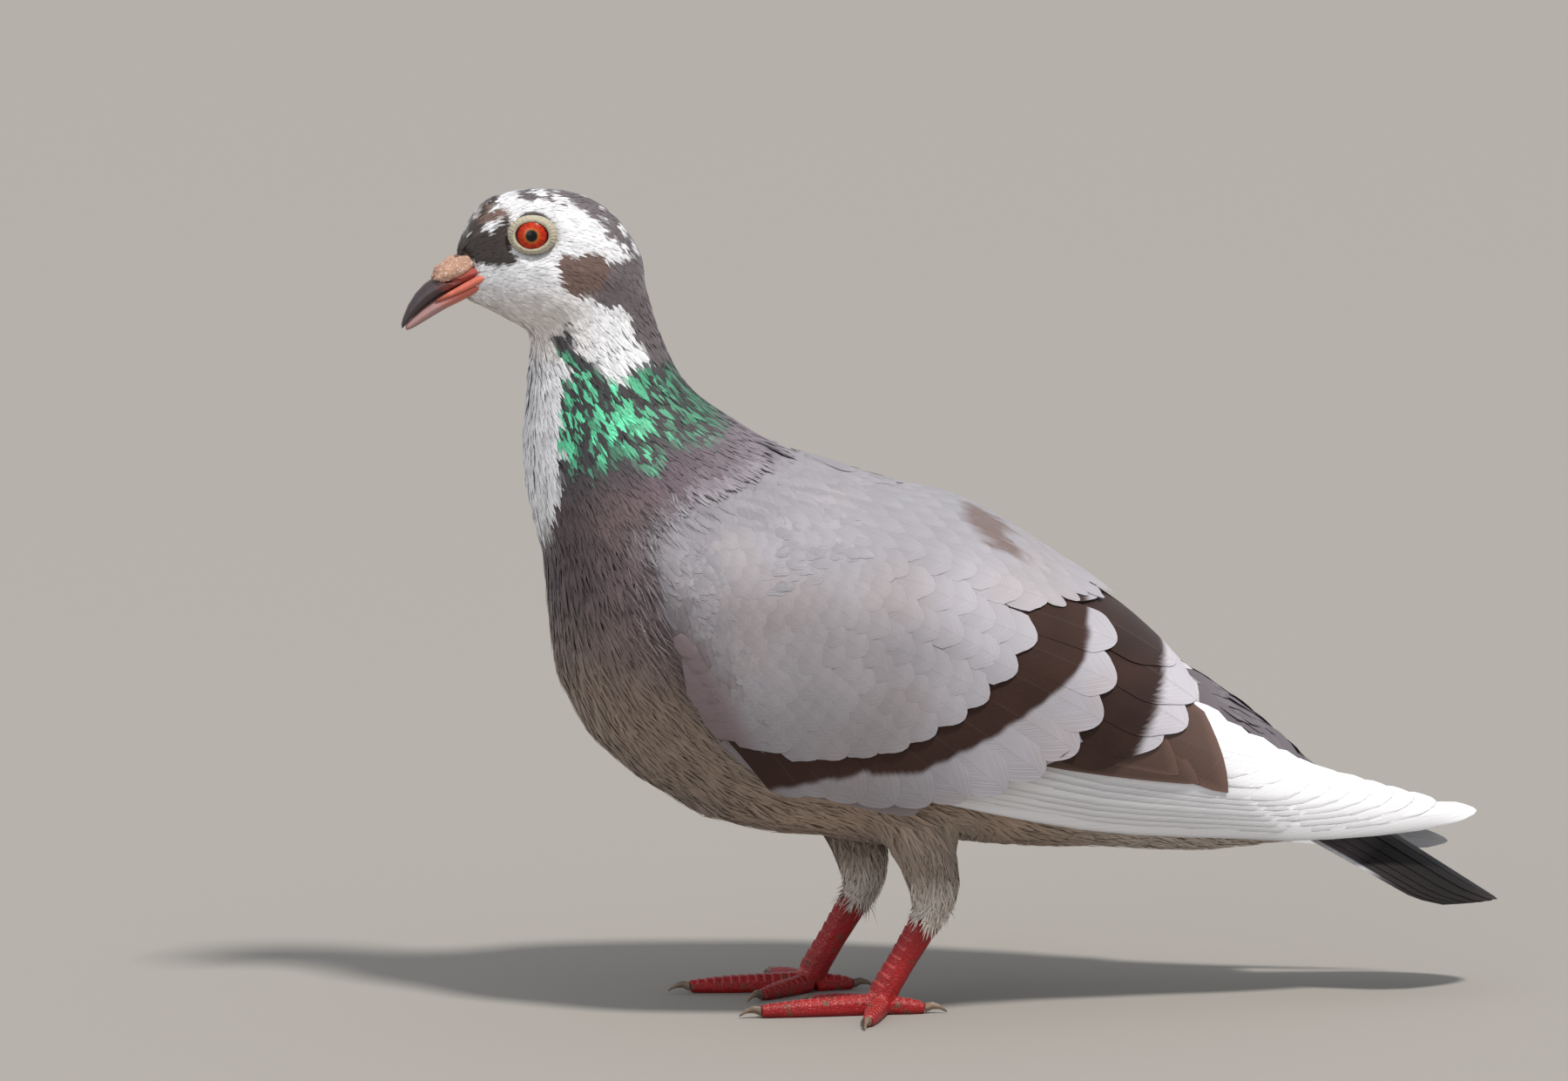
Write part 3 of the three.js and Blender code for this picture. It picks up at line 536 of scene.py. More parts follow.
def blade_template():
    """A pointed blade with a ridge: along, across and up of each point, and its faces."""
    stations = [(0.0, 0.5, 0.4), (0.3, 1.0, 1.0), (0.66, 0.8, 0.8)]
    points = [(t + (0.05 if side == 0 else 0), side * w, ridge if side == 0 else 0)
              for t, w, ridge in stations for side in (-1, 0, 1)]
    points.append((1.0, 0.0, 0.2))
    faces = [(0, 2, 1)]
    for i in (0, 3):
        left, ridge, right = i, i + 1, i + 2
        for a, b in ((left, ridge), (ridge, right), (right, left)):
            faces += [(a, b, b + 3), (a, b + 3, a + 3)]
    faces += [(6, 7, 9), (7, 8, 9), (8, 6, 9)]
    return np.array(points), np.array(faces)


def vane_template(rows, columns):
    """A broad thin vane, closed at its edges: along, across, and upper or lower side of each point, and its faces."""
    points, top, bottom = [], {}, {}
    for r, t in enumerate(rows):
        for c, u in enumerate(columns):
            top[r, c] = len(points)
            points.append((t, u, 1.0))
    for r, t in enumerate(rows):
        for c, u in enumerate(columns):
            border = r in (0, len(rows) - 1) or c in (0, len(columns) - 1)
            bottom[r, c] = top[r, c] if border else len(points)
            if not border:
                points.append((t, u, -1.0))
    faces = []
    for r in range(len(rows) - 1):
        for c in range(len(columns) - 1):
            for layer, turn in ((top, 1), (bottom, -1)):
                a, b, d, e = layer[r, c], layer[r, c + 1], layer[r + 1, c + 1], layer[r + 1, c]
                pair = ((a, b, d), (a, d, e))
                if (r, c) in ((0, len(columns) - 2), (len(rows) - 2, 0)):
                    pair = ((a, b, e), (b, d, e))  # so that no face lies wholly on the border
                faces += [face[::turn] for face in pair]
    return np.array(points), np.array(faces)


BLADE = blade_template()
SMALL_VANE = vane_template([0, 0.3, 0.6, 0.8, 0.92, 1], [-1, -0.6, 0, 0.6, 1])
RIBBED = [-1, -0.75, -0.4, -0.07, 0, 0.07, 0.4, 0.75, 1]  # across a vane, with room for the quill in the middle
COVERT_VANE = vane_template([0, 0.25, 0.5, 0.72, 0.88, 1], RIBBED)
FLIGHT_VANE = vane_template([0, 0.1, 0.2, 0.3, 0.4, 0.5, 0.6, 0.7, 0.78, 0.86, 0.93, 1], RIBBED)
BARRED_VANE = vane_template(np.append([0, 0.15, 0.3], np.linspace(0.4, 1, 34)),
                            [-1, -0.85, -0.7, -0.5, -0.3, -0.07, 0, 0.07, 0.3, 0.5, 0.7, 0.85, 1])


class Coat:
    """Feathers gathered into one piece, with the surface they lie on and the draws that set them."""

    def __init__(self, name, surface=None, draw=None):
        self.name, self.surface, self.draw = name, surface, draw
        self.parts = []

    def sow(self, spacing, region):
        """Spreads the roots of the next feathers over a region of the surface, a spacing apart. Returns them."""
        self.roots, self.normals = self.surface.scatter(spacing, region, self.draw)
        return self.roots

    def add(self, template, points, colours, patches, patch_size=PATCH, shine=0.0):
        """points (n, k, 3) of n feathers on a template of k points. colours (n, 3) or (n, k, 3)."""
        shape, faces = template
        count, each = points.shape[:2]
        colours = np.broadcast_to(colours if colours.ndim == 3 else colours[:, None], (count, each, 3))
        shine = np.broadcast_to(np.reshape(shine, (-1, 1)), (count, each))
        vane = beside(shape[:, 1] * 0.5 + 0.5, shape[:, 0])
        patch = patches[:, None] + (vane[None] - 0.5) * patch_size
        self.parts.append({
            "points": points.reshape(-1, 3),
            "faces": (faces[None] + np.arange(count)[:, None, None] * each).reshape(-1, 3),
            "colour": np.concatenate([colours, shine[..., None]], axis=2).reshape(-1, 4),
            "vane": np.tile(vane, (count, 1)),
            "patch": patch.reshape(-1, 2),
        })

    def piece(self, material, crisp=True):
        """The feathers as one object, with crisp rims or smooth all over."""
        start = np.cumsum([0] + [len(part["points"]) for part in self.parts[:-1]])
        joined = {key: np.concatenate([part[key] for part in self.parts])
                  for key in ("points", "colour", "vane", "patch")}
        faces = np.concatenate([part["faces"] + at for part, at in zip(self.parts, start)])
        piece = new_piece(self.name, joined["points"], faces, material)
        corners = faces.ravel()
        set_colours(piece, joined["colour"])
        for name, key in (("Vane", "vane"), ("OFBake", "patch")):
            layer = piece.data.uv_layers.new(name=name)
            layer.data.foreach_set("uv", joined[key][corners].astype(np.float32).ravel())
        piece.data.uv_layers["OFBake"].active = True
        if crisp:
            only(piece)
            bpy.ops.object.shade_smooth_by_angle(angle=RIM_ANGLE)
        return piece


def curved(roots, middles, tips, template, sides, normals, half_widths, thickness, sag=0.0):
    """Feathers bent through root, middle and tip: (n, k, 3) points of the template's shape."""
    t, across, up = template[0].T
    bow = 2 * middles - (roots + tips) / 2
    t3 = t[None, :, None]
    spine = roots[:, None] * (1 - t3) ** 2 + 2 * bow[:, None] * t3 * (1 - t3) + tips[:, None] * t3**2
    wide = sides[:, None] * (across[None, :, None] * np.reshape(half_widths, (-1, 1, 1)))
    raised = up[None, :, None] * np.reshape(thickness, (-1, 1, 1)) - sag * across[None, :, None] ** 2
    return spine + wide + normals[:, None] * raised


def turned(directions, normals, angles):
    """Directions turned about the normals by angles in radians."""
    sideways = np.cross(normals, directions)
    return directions * np.cos(angles)[:, None] + sideways * np.sin(angles)[:, None]


def add_blades(coat, long, wide, lift, thick, wander, fan=1, splay=0.0, sink=0.3, colour_at=plumage, free=None,
               even=False):
    """Sets fans of pointed blades at the coat's roots, along its surface, save for the free share of their tips.

    fan is how many blades a feather has, splay and wander how far in radians its blades spread and it turns, sink how
    deep its root lies, and even gives each feather one colour all along.
    """
    surface, roots, normals, draw = coat.surface, coat.roots, coat.normals, coat.draw
    count = len(roots)
    base = lie(roots, normals)
    long_by = base * np.reshape(long, (-1, 1))
    near, shine = colour_at(roots + long_by * (0.6 if even else 0.3))
    far = near if even else colour_at(roots + long_by * 0.9)[0]
    colours = near[:, None] + (far - near)[:, None] * BLADE[0][None, :, :1]
    middle = (fan - 1) / 2
    swing = draw.normal(0, wander, count)
    shade = draw.normal(1, 0.07, count)
    for k in range(fan):
        off = (k - middle) / max(middle, 1) if fan > 1 else 0.0
        angle = swing + off * splay + draw.normal(0, 0.05, count)
        direction = turned(base, normals, angle)
        reach = long * (1 - 0.16 * off**2) * draw.uniform(0.85, 1.12, count)
        ahead = roots + direction * reach[:, None]
        tips, tip_out = surface.lay(ahead)
        middles, middle_out = surface.lay(roots + direction * reach[:, None] * 0.5)
        if free is not None:
            tips, tip_out = blend(tips, ahead, free), unit(blend(tip_out, normals, free))
        height = lift * draw.uniform(0.6, 1.25, count) * (1 - 0.25 * abs(off))
        tips = tips + tip_out * height[:, None]
        middles = middles + middle_out * (height * 0.72)[:, None]
        start = roots - normals * sink
        sides = unit(np.cross(direction, normals))
        points = curved(start, middles, tips, BLADE, sides, normals, wide * draw.uniform(0.8, 1.2, count), thick)
        tint = colours * (shade * draw.normal(1, 0.05, count))[:, None, None]
        coat.add(BLADE, points, np.clip(tint, 0, 1), unwrap(roots), shine=shine)


def add_vanes(coat, long, wide, lift, rise=0.0, template=SMALL_VANE, sink=0.5):
    """Sets rounded feathers at the coat's roots, lying along its surface and raised from it."""
    surface, roots, normals, draw = coat.surface, coat.roots, coat.normals, coat.draw
    count = len(roots)
    base = lie(roots, normals)
    colours, shine = plumage(roots + base * 0.6 * np.reshape(long, (-1, 1)))
    direction = turned(base, normals, draw.normal(0, 0.1, count))
    reach = long * draw.uniform(0.88, 1.12, count)
    tips, tip_out = surface.lay(roots + direction * reach[:, None])
    middles, middle_out = surface.lay(roots + direction * reach[:, None] * 0.5)
    height = lift * draw.uniform(0.75, 1.2, count)
    rise = np.broadcast_to(rise, count)
    tips = tips + tip_out * (rise + height)[:, None]
    middles = middles + middle_out * (rise + height * 0.75)[:, None]
    shape = rounded(template)
    sides = unit(np.cross(direction, normals))
    start = roots + normals * (rise - sink)[:, None]
    points = curved(start, middles, tips, shape, sides, normals, wide * draw.uniform(0.9, 1.1, count), 0.04, sag=0.3)
    t = template[0][:, 0]
    # Each vane darker towards its root and lighter to its tip: partly its paler rim, partly painted shade where the
    # vane before lies over it.
    tint = colours[:, None] * draw.normal(1, 0.03, (count, 1, 1)) * (0.88 + 0.14 * step(0.4, 1, t))[None, :, None]
    coat.add(template, points, np.clip(tint, 0, 1), unwrap(roots), shine=shine)


def rounded(template):
    """The template with a narrow root and a round tip, thin at its edges."""
    t, u, layer = template[0].T
    width = 0.4 + (1 - 0.4) * step(0, 0.45, t)
    width = width * np.sqrt(1 - 0.6 * np.clip((t - 0.72) / 0.28, 0, 1) ** 2.2)
    along = t - 0.16 * u**2 * np.clip((t - 0.3) / 0.7, 0, 1)
    return beside(along, u * width, layer * (1 - u**2)), template[1]


# ---- the wing's own surface

_wing = np.array(WING_SECTIONS, float)
WING_PROFILES = [smooth_table(_wing[:, 0], _wing[:, i]) for i in range(1, 5)]
STEEP = 0.9  # share of the half ellipse's height past which the wing runs on straight


def wing_profiles(x):
    return [np.interp(x, *table) for table in WING_PROFILES]


def wing_section(x, height):
    """Half width and widest line of the wing at x, and how far it reaches to the side of that line height is on."""
    half, wide, rise, drop = wing_profiles(x)
    return half, wide, np.where(height > wide, rise, drop)


def on_wing(x, height, lift, side):
    """Points on the folded wing, by distance along the bird and height in side view, and how far they stand off it."""
    half, wide, reach = wing_section(x, height)
    share = (height - wide) / reach
    inner = np.clip(share, -STEEP, STEEP)
    angle = np.arcsin(inner) + (share - inner) / math.sqrt(1 - STEEP**2)
    out_y, out_z = np.cos(angle) / half, np.sin(angle) / reach
    size = np.hypot(out_y, out_z)
    y = half * np.cos(angle) + out_y / size * lift
    z = wide + reach * np.sin(angle) + out_z / size * lift
    return beside(x + 0 * y, side * y, z)


def stretch(x, height):
    """Millimetres of wing surface for each millimetre of height in side view."""
    half, wide, reach = wing_section(x, height)
    share = np.clip(np.abs(height - wide) / reach, 0, STEEP)
    return np.sqrt(1 + (half * share) ** 2 / (reach**2 * (1 - share**2)))


def on_back(x, y, lift):
    """Points on the back over both wings, seen from above, and how far they stand off it."""
    half, wide, rise, _ = wing_profiles(x)
    height = np.sqrt(1 - np.clip(y / half, -0.95, 0.95) ** 2)
    out_y, out_z = y / half**2, height / rise
    size = np.hypot(out_y, out_z)
    return beside(x, y + out_y / size * lift, wide + rise * height + out_z / size * lift)


def stretch_back(x, y):
    """Millimetres of the back's surface for each millimetre across, seen from above."""
    half, _, rise, _ = wing_profiles(x)
    share = np.clip(y / half, -STEEP, STEEP)
    return np.sqrt(1 + (rise * share) ** 2 / (half**2 * (1 - share**2)))


def wing_feathers(coat, template, paths, half_widths, lifts, side, colour_of, cells, draw, tilt=0.025, thick=0.025,
                  round_by=0.5, tip=0.72, taper=0.78, rib=0.03, droop=0.1, skew=0.0, depth=None, bend=None, place=None,
                  grow_of=stretch):
    """Broad feathers on the wing, or on the back where place and grow_of say so.

    paths (n, 3, 2) are root, middle and tip in side view, lifts (n, 2) how far root and tip stand off the wing,
    round_by how round the end is and skew how much sooner its upper corner ends, tip its width there and taper where
    it starts, droop how far the rim hugs what lies below, depth a table of how deep in the wing the feathers lie, by
    distance along the bird, and cells hands out room on the colour map.
    """
    t, u, layer = template[0].T
    count = len(paths)
    root, middle, end = (paths[:, i][:, None] for i in range(3))
    bow = 2 * middle - (root + end) / 2
    half = np.reshape(half_widths, (-1, 1))
    length_of = norms(paths[:, 2] - paths[:, 0])[:, None]
    back = round_by * half * u**2 * np.clip((t - 0.3) / 0.7, 0, 1) ** 1.3 / length_of
    back = back + skew * half * u * step(0.3, 1, t) / length_of
    along = (t - back)[..., None]
    spine = root * (1 - along) ** 2 + 2 * bow * along * (1 - along) + end * along**2
    heading = unit(2 * (bow - root) * (1 - along) + 2 * (end - bow) * along)
    width = 0.45 + (1 - 0.45) * step(0, 0.35, t)
    width = width * np.sqrt(1 - (1 - tip**2) * np.clip((t - taper) / (1 - taper), 0, 1) ** 2.2)
    off = u * width * half
    x = spine[..., 0] - heading[..., 1] * off
    height = spine[..., 1] + heading[..., 0] * off / grow_of(spine[..., 0], spine[..., 1])
    lift = lifts[:, :1] + (lifts[:, 1:] - lifts[:, :1]) * t
    if depth is not None:
        lift = lift - along_table(depth, x)
    lift = lift - tilt * u + layer * (1 - u**2) * thick
    lift = lift - droop * np.maximum(np.abs(u) ** 2.5, step(0.8, 1, t))
    lift = lift + np.where((np.abs(u) < 0.02) & (layer > 0), rib, 0.0) * (1 - t**2)
    points = place(x, height, lift) if place else on_wing(x, height, lift, side)
    if bend:
        points = bend(points)
    faces = template[1][:, ::-1] if side == LEFT else template[1]
    colours = colour_of(x, height, t, u) * draw.normal(1, 0.02, (count, 1, 1))
    patches, size = cells(count)
    coat.add((template[0], faces), points, np.clip(colours, 0, 1), patches, size)


class Cells:
    """Square cells of the colour map, handed out one by one."""

    def __init__(self, across):
        self.across = across
        self.used = 0

    def __call__(self, count):
        index = np.arange(self.used, self.used + count)
        self.used += count
        if self.used > self.across**2:
            raise RuntimeError(f"{self.used} feathers are more than the colour map's {self.across**2} cells")
        centres = beside(index % self.across, index // self.across) + 0.5
        return centres / self.across, 0.9 / self.across


def from_wrist(x, height):
    """Distance and heading in degrees from the wrist, in side view."""
    dx, dz = x - WRIST[0], height - WRIST[1]
    return np.hypot(dx, dz), np.degrees(np.arctan2(dz, dx))


def fan_tips(headings, reach):
    """Points at the headings and reaches from the wrist, in side view."""
    angle = np.radians(headings)
    return beside(WRIST[0] + reach * np.cos(angle), WRIST[1] + reach * np.sin(angle))


def covert_paths(tips, lengths, sway, bow=0.0):
    """Paths of feathers that end at the tips and point away from the shoulder, in side view."""
    to = np.arctan2(tips[:, 1] - COVERT_FAN[1], tips[:, 0] - COVERT_FAN[0]) + sway
    ahead = beside(np.cos(to), np.sin(to))
    roots = tips - ahead * np.reshape(lengths, (-1, 1))
    middles = (roots + tips) / 2 + beside(-ahead[:, 1], ahead[:, 0]) * bow
    return np.stack([roots, middles, tips], axis=1)


# ---- materials

def new_group(name, inputs, outputs):
    """An empty shader group with float or vector inputs, and float outputs. Returns it with its two ends."""
    group = bpy.data.node_groups.new(name, "ShaderNodeTree")
    for socket, default in inputs.items():
        kind = "NodeSocketFloat" if isinstance(default, (int, float)) else "NodeSocketVector"
        made = group.interface.new_socket(socket, in_out="INPUT", socket_type=kind)
        if kind == "NodeSocketFloat":
            made.default_value = default
    for socket in outputs:
        group.interface.new_socket(socket, in_out="OUTPUT", socket_type="NodeSocketFloat")
    return group, group.nodes.new("NodeGroupInput"), group.nodes.new("NodeGroupOutput")


def maths(tree, kind, first, second):
    """A Math node on two sockets or numbers. Returns its output."""
    node = tree.nodes.new("ShaderNodeMath")
    node.operation = kind
    for socket, value in zip(node.inputs, (first, second)):
        if isinstance(value, (int, float)):
            socket.default_value = value
        else:
            tree.links.new(value, socket)
    return node.outputs[0]


def ranged(tree, value, low, high, to_low=0.0, to_high=1.0):
    """A smooth step from one range of values to another."""
    node = tree.nodes.new("ShaderNodeMapRange")
    node.interpolation_type = "SMOOTHSTEP"
    for socket, number in zip(list(node.inputs)[1:5], (low, high, to_low, to_high)):
        socket.default_value = number
    tree.links.new(value, node.inputs[0])
    return node.outputs[0]


def noise_node(tree, vector, scale, detail=2.0, dimensions="3D"):
    node = tree.nodes.new("ShaderNodeTexNoise")
    node.noise_dimensions = dimensions
    node.inputs["Scale"].default_value = scale
    node.inputs["Detail"].default_value = detail
    tree.links.new(vector, node.inputs["Vector"])
    return node.outputs["Fac"]


def parts_of(tree, vector):
    """X, Y and Z of a vector, as sockets."""
    node = tree.nodes.new("ShaderNodeSeparateXYZ")
    tree.links.new(vector, node.inputs[0])
    return node.outputs


def vector_of(tree, x, y):
    node = tree.nodes.new("ShaderNodeCombineXYZ")
    tree.links.new(x, node.inputs[0])
    tree.links.new(y, node.inputs[1])
    return node.outputs[0]


def barb_lines():
    """Fine lines over a feather: Across and Along are how many there are, Slant how they sweep from the shaft."""
    if "Barb Lines" in bpy.data.node_groups:
        return bpy.data.node_groups["Barb Lines"]
    group, start, end = new_group("Barb Lines", {"Vane": (0, 0, 0), "Across": 6.0, "Along": 0.0, "Slant": 0.0},
                                  ["Lines", "Shaft"])
    u, v, _ = parts_of(group, start.outputs["Vane"])
    off_shaft = maths(group, "ABSOLUTE", maths(group, "SUBTRACT", u, 0.5), 0)
    across = maths(group, "MULTIPLY", u, start.outputs["Across"])
    along = maths(group, "MULTIPLY", v, start.outputs["Along"])
    slant = maths(group, "MULTIPLY", off_shaft, start.outputs["Slant"])
    line = maths(group, "ADD", maths(group, "ADD", across, along), slant)
    stretched = vector_of(group, line, maths(group, "MULTIPLY", v, 1.5))
    value = noise_node(group, stretched, 1, 1, dimensions="2D")
    group.links.new(ranged(group, value, 0.3, 0.7), end.inputs["Lines"])
    group.links.new(ranged(group, off_shaft, 0, 0.035, 1, 0), end.inputs["Shaft"])
    return group


def surface_grain():
    """Grain in space, in metres: Fine and Coarse values from 0 to 1 for a given size in millimetres."""
    if "Surface Grain" in bpy.data.node_groups:
        return bpy.data.node_groups["Surface Grain"]
    group, start, end = new_group("Surface Grain", {"Place": (0, 0, 0), "Size": 1.0}, ["Fine", "Coarse", "Cells"])
    scale = maths(group, "DIVIDE", 1000.0, start.outputs["Size"])
    scaled = group.nodes.new("ShaderNodeVectorMath")
    scaled.operation = "SCALE"
    group.links.new(start.outputs["Place"], scaled.inputs[0])
    group.links.new(scale, scaled.inputs["Scale"])
    group.links.new(noise_node(group, scaled.outputs[0], 1, 4.0), end.inputs["Fine"])
    group.links.new(noise_node(group, scaled.outputs[0], 0.22, 2.0), end.inputs["Coarse"])
    cells = group.nodes.new("ShaderNodeTexVoronoi")
    cells.feature = "DISTANCE_TO_EDGE"
    cells.inputs["Scale"].default_value = 1.0
    group.links.new(scaled.outputs[0], cells.inputs["Vector"])
    group.links.new(ranged(group, cells.outputs["Distance"], 0, 0.16), end.inputs["Cells"])
    return group


class Finish:
    """A material under construction."""

    def __init__(self, name, **constants):
        self.material = bpy.data.materials.new(name)
        self.material.use_nodes = True
        self.tree = self.material.node_tree
        self.shader = self.tree.nodes["Principled BSDF"]
        for socket, value in constants.items():
            self.shader.inputs[socket.replace("_", " ")].default_value = value

    def node(self, kind):
        return self.tree.nodes.new(kind)

    def link(self, output, socket="Base Color"):
        self.tree.links.new(output, self.shader.inputs[socket])

    def plumage(self):
        node = self.node("ShaderNodeAttribute")
        node.attribute_name = "Plumage"
        return node

    def place(self):
        return self.node("ShaderNodeTexCoord").outputs["Object"]

    def uv(self, name):
        node = self.node("ShaderNodeUVMap")
        node.uv_map = name
        return node.outputs[0]

    def group(self, group, vector, **values):
        """A shader group with its own values, fed by a vector. Returns its outputs."""
        node = self.node("ShaderNodeGroup")
        node.node_tree = group
        self.tree.links.new(vector, node.inputs[0])
        for socket, value in values.items():
            node.inputs[socket].default_value = value
        return node.outputs

    def barbs(self, across, along, slant):
        return self.group(barb_lines(), self.uv("Vane"), Across=across, Along=along, Slant=slant)

    def grain(self, size):
        return self.group(surface_grain(), self.place(), Size=size)

    def mixed(self, kind, share, first, second):
        """A colour mix of sockets or colours."""
        node = self.node("ShaderNodeMix")
        node.data_type = "RGBA"
        node.blend_type = kind
        for socket, value in ((node.inputs[0], share), (node.inputs[6], first), (node.inputs[7], second)):
            if isinstance(value, bpy.types.NodeSocket):
                self.tree.links.new(value, socket)
            elif isinstance(value, (int, float)):
                socket.default_value = value
            else:
                socket.default_value = (*value, 1)
        return node.outputs[2]

    def ranged(self, value, low, high, to_low=0.0, to_high=1.0):
        return ranged(self.tree, value, low, high, to_low, to_high)

    def shaded(self, base, shade):
        """The base colour, made darker or lighter by a value."""
        grey = self.node("ShaderNodeCombineColor")
        for socket in grey.inputs:
            self.tree.links.new(shade, socket)
        return self.mixed("MULTIPLY", 1, base, grey.outputs[0])

    def bump(self, height, millimetres, strength=1.0):
        node = self.node("ShaderNodeBump")
        node.inputs["Distance"].default_value = millimetres / METRE
        node.inputs["Strength"].default_value = strength
        self.tree.links.new(height, node.inputs["Height"])
        self.link(node.outputs[0], "Normal")


def feather_finish(name, across, along, slant, depth, relief, shining=False, shaft=0.0, **constants):
    """Feathers take their colour from the Plumage attribute, darker and lower between the barbs.

    depth is how much darker, relief how much lower in millimetres, and shaft how dark the quill is.
    """
    if name in bpy.data.materials:
        return bpy.data.materials[name]
    settings = {"Roughness": 0.62, "Specular_IOR_Level": 0.35, "Sheen_Weight": 0.15, "Sheen_Roughness": 0.5}
    settings.update(constants)
    finish = Finish(name, **settings)
    lines, quill = finish.barbs(across, along, slant)
    colour_at = finish.plumage()
    base = finish.shaded(colour_at.outputs["Color"], finish.ranged(lines, 0, 1, 1 - depth, 1 + depth * 0.25))
    if shaft:
        quill_share = finish.ranged(quill, 0, 1, 0, shaft)
        base = finish.mixed("MIX", quill_share, base, (0.1, 0.085, 0.08))
    finish.link(base)
    if shining:
        alpha = colour_at.outputs["Alpha"]
        finish.link(finish.ranged(alpha, 0, 1, 0, 0.55), "Metallic")
        finish.link(finish.ranged(alpha, 0, 1, 0.6, 0.34), "Roughness")
    finish.bump(lines, relief, 0.8)
    return finish.material


def skin_finish():
    finish = Finish("Bird skin", Roughness=0.85, Specular_IOR_Level=0.2)
    grain = finish.grain(1.2)
    # The grain never lightens the plumage colour, so the skin stays a little darker than the feathers over it: painted
    # shade between them.
    shade = finish.ranged(grain["Fine"], 0.3, 0.7, 0.84, 1)
    finish.link(finish.shaded(finish.plumage().outputs["Color"], shade))
    finish.bump(grain["Fine"], 0.3)
    return finish.material


# ---- skin

def apply_modifier(piece, kind, **settings):
    only(piece)
    modifier = piece.modifiers.new(kind.title(), kind)
    for key, value in settings.items():
        setattr(modifier, key, value)
    bpy.ops.object.modifier_apply(modifier=modifier.name)


def shell(name, nodes, grow, voxel, smooth, material, shape=None):
    """One smooth closed mesh from copies of CAD nodes: grown to meet, remeshed and smoothed. Millimetres.

    shape(node, points) may move the copied points first.
    """
    points, faces = [], []
    for node in nodes:
        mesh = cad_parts[node].data
        copied = to_bird([tuple(v.co) for v in mesh.vertices])
        faces += [[i + len(points) for i in p.vertices] for p in mesh.polygons]
        points += (shape(node, copied) if shape else copied).tolist()
    piece = new_piece(name, points, faces, material)
    only(piece)
    bpy.ops.object.mode_set(mode="EDIT")
    bpy.ops.mesh.select_all(action="SELECT")
    bpy.ops.mesh.remove_doubles(threshold=0.00001)
    bpy.ops.mesh.normals_make_consistent(inside=False)
    bpy.ops.object.mode_set(mode="OBJECT")
    apply_modifier(piece, "DISPLACE", strength=grow / METRE, mid_level=0.0)
    apply_modifier(piece, "REMESH", mode="VOXEL", voxel_size=voxel / METRE, use_smooth_shade=True)
    apply_modifier(piece, "SMOOTH", factor=0.5, iterations=smooth)
    smooth_faces(piece)
    return piece


# The lower edge of the folded wing's coverts, in side view: x, z.
WING_LOW = [(-57, 108), (-54, 96), (-49, 86), (-40, 74.5), (-30, 66.5), (-16, 60.5), (4, 57), (16, 57.5), (32, 61.5),
            (41, 66), (50, 70.5), (64, 69.5), (76, 71.5), (82, 77)]


def under_wing(p, rim=0.0):
    """Where points lie behind a folded wing's coverts in side view, rim millimetres inside their edge."""
    x, y, z = p[:, 0], np.abs(p[:, 1]), p[:, 2]
    return (x > -56 + rim) & (x < 84) & (z > along_table(WING_LOW, x) + rim) & (y > 9)


def on_wing_shield(p):
    """Where points lie on the outside of a folded wing's coverts."""
    outside = on_wing(p[:, 0], p[:, 2], 0.0, 1)[:, 1]
    return under_wing(p) & (np.abs(p[:, 1]) > outside - 4.5)


def mantle_edge(x):
    """Height of the mantle's lower edge at x."""
    return 118 + 0.17 * (x + 42)


def scapular_edge(x):
    """Height of the scapulars' lower edge at x."""
    return 127.5 - 0.3 * x


def coat_depth(p, normals):
    """How deep the skin lies under the outside of the plumage."""
    down = below_head(p)
    depth = 0.9 + 0.9 * step(-6, 6, down) + 0.9 * step(35, 60, down)
    depth = np.where(p[:, 2] < 52, 0.7 + 1.0 * step(26, 40, p[:, 2]), depth)
    reach, heading = from_wrist(p[:, 0], p[:, 2])
    behind = step(-12, -4, reach - along_table(MEDIAN_REACH, heading)) * step(35, 20, heading)
    outward = step(-0.5, -0.2, normals[:, 1] * np.sign(p[:, 1]))
    depth = np.where(on_wing_shield(p), 1.4 + 0.9 * behind * outward, depth)
    covered = is_mantle(p, normals) | is_shoulder(p, normals)
    close = covered * step(-15, -24, p[:, 0]) * step(72, 80, p[:, 2])
    return depth + close * (np.minimum(depth, 0.75 + 1.9 * (1 - behind_front(p))) - depth)


SKIN_GROW = 0.5  # how far the copied solids grow, to meet without steps
TIP_START = 48  # x where the free tips of the coverts begin


def shorten(node, points):
    """Ends the skin of the coverts where the free tips of their feathers begin."""
    if "coverts" in node:
        points[:, 0] = np.minimum(points[:, 0], TIP_START)
    return points


def flesh(name, smooth):
    """The solid model's flesh as one shell, a little larger than it is."""
    return shell(name, FLESH_NODES, SKIN_GROW, sizes().skin_voxel, smooth, skin_finish(), shorten)


def outer_surface():
    """The outside of the whole plumage, for feathers that lie over others."""
    piece = flesh("outer", 14)
    points, normals = read_points(piece)
    write_points(piece, points - normals * SKIN_GROW)
    surface = Surface(piece)
    bpy.data.meshes.remove(piece.data)
    return surface


def skin_surface():
    """The skin, for feathers that grow from it."""
    return Surface(bpy.data.objects["skin"])


def draws(offset):
    """Random draws of one piece's own, so that a change to one piece leaves the others as they are."""
    return np.random.default_rng(sizes().seed + offset)


class PIGEON_OT_skin(bpy.types.Operator):
    """One closed skin under the plumage, in place of the flesh of the solid model"""

    bl_idname = "pigeon.skin"
    bl_label = "Skin"

    def execute(self, context):
        piece = flesh("skin", 10)
        points, normals = read_points(piece)
        points = points - normals * (SKIN_GROW + coat_depth(points, normals))[:, None]
        write_points(piece, points)
        set_colours(piece, plumage(points)[0])
        dress(piece, "plumage", *FLESH_NODES)
        return {"FINISHED"}


# ---- coat of head, neck and body

# Each of these says which points lie on one part of the bird, from the points and the directions out of them.

def is_head(p, n):
    return (below_head(p) < 3) & (p[:, 0] < -52)


def is_neck(p, n):
    down = below_head(p)
    return (down >= -1) & (down < 50) & (p[:, 0] < -34)


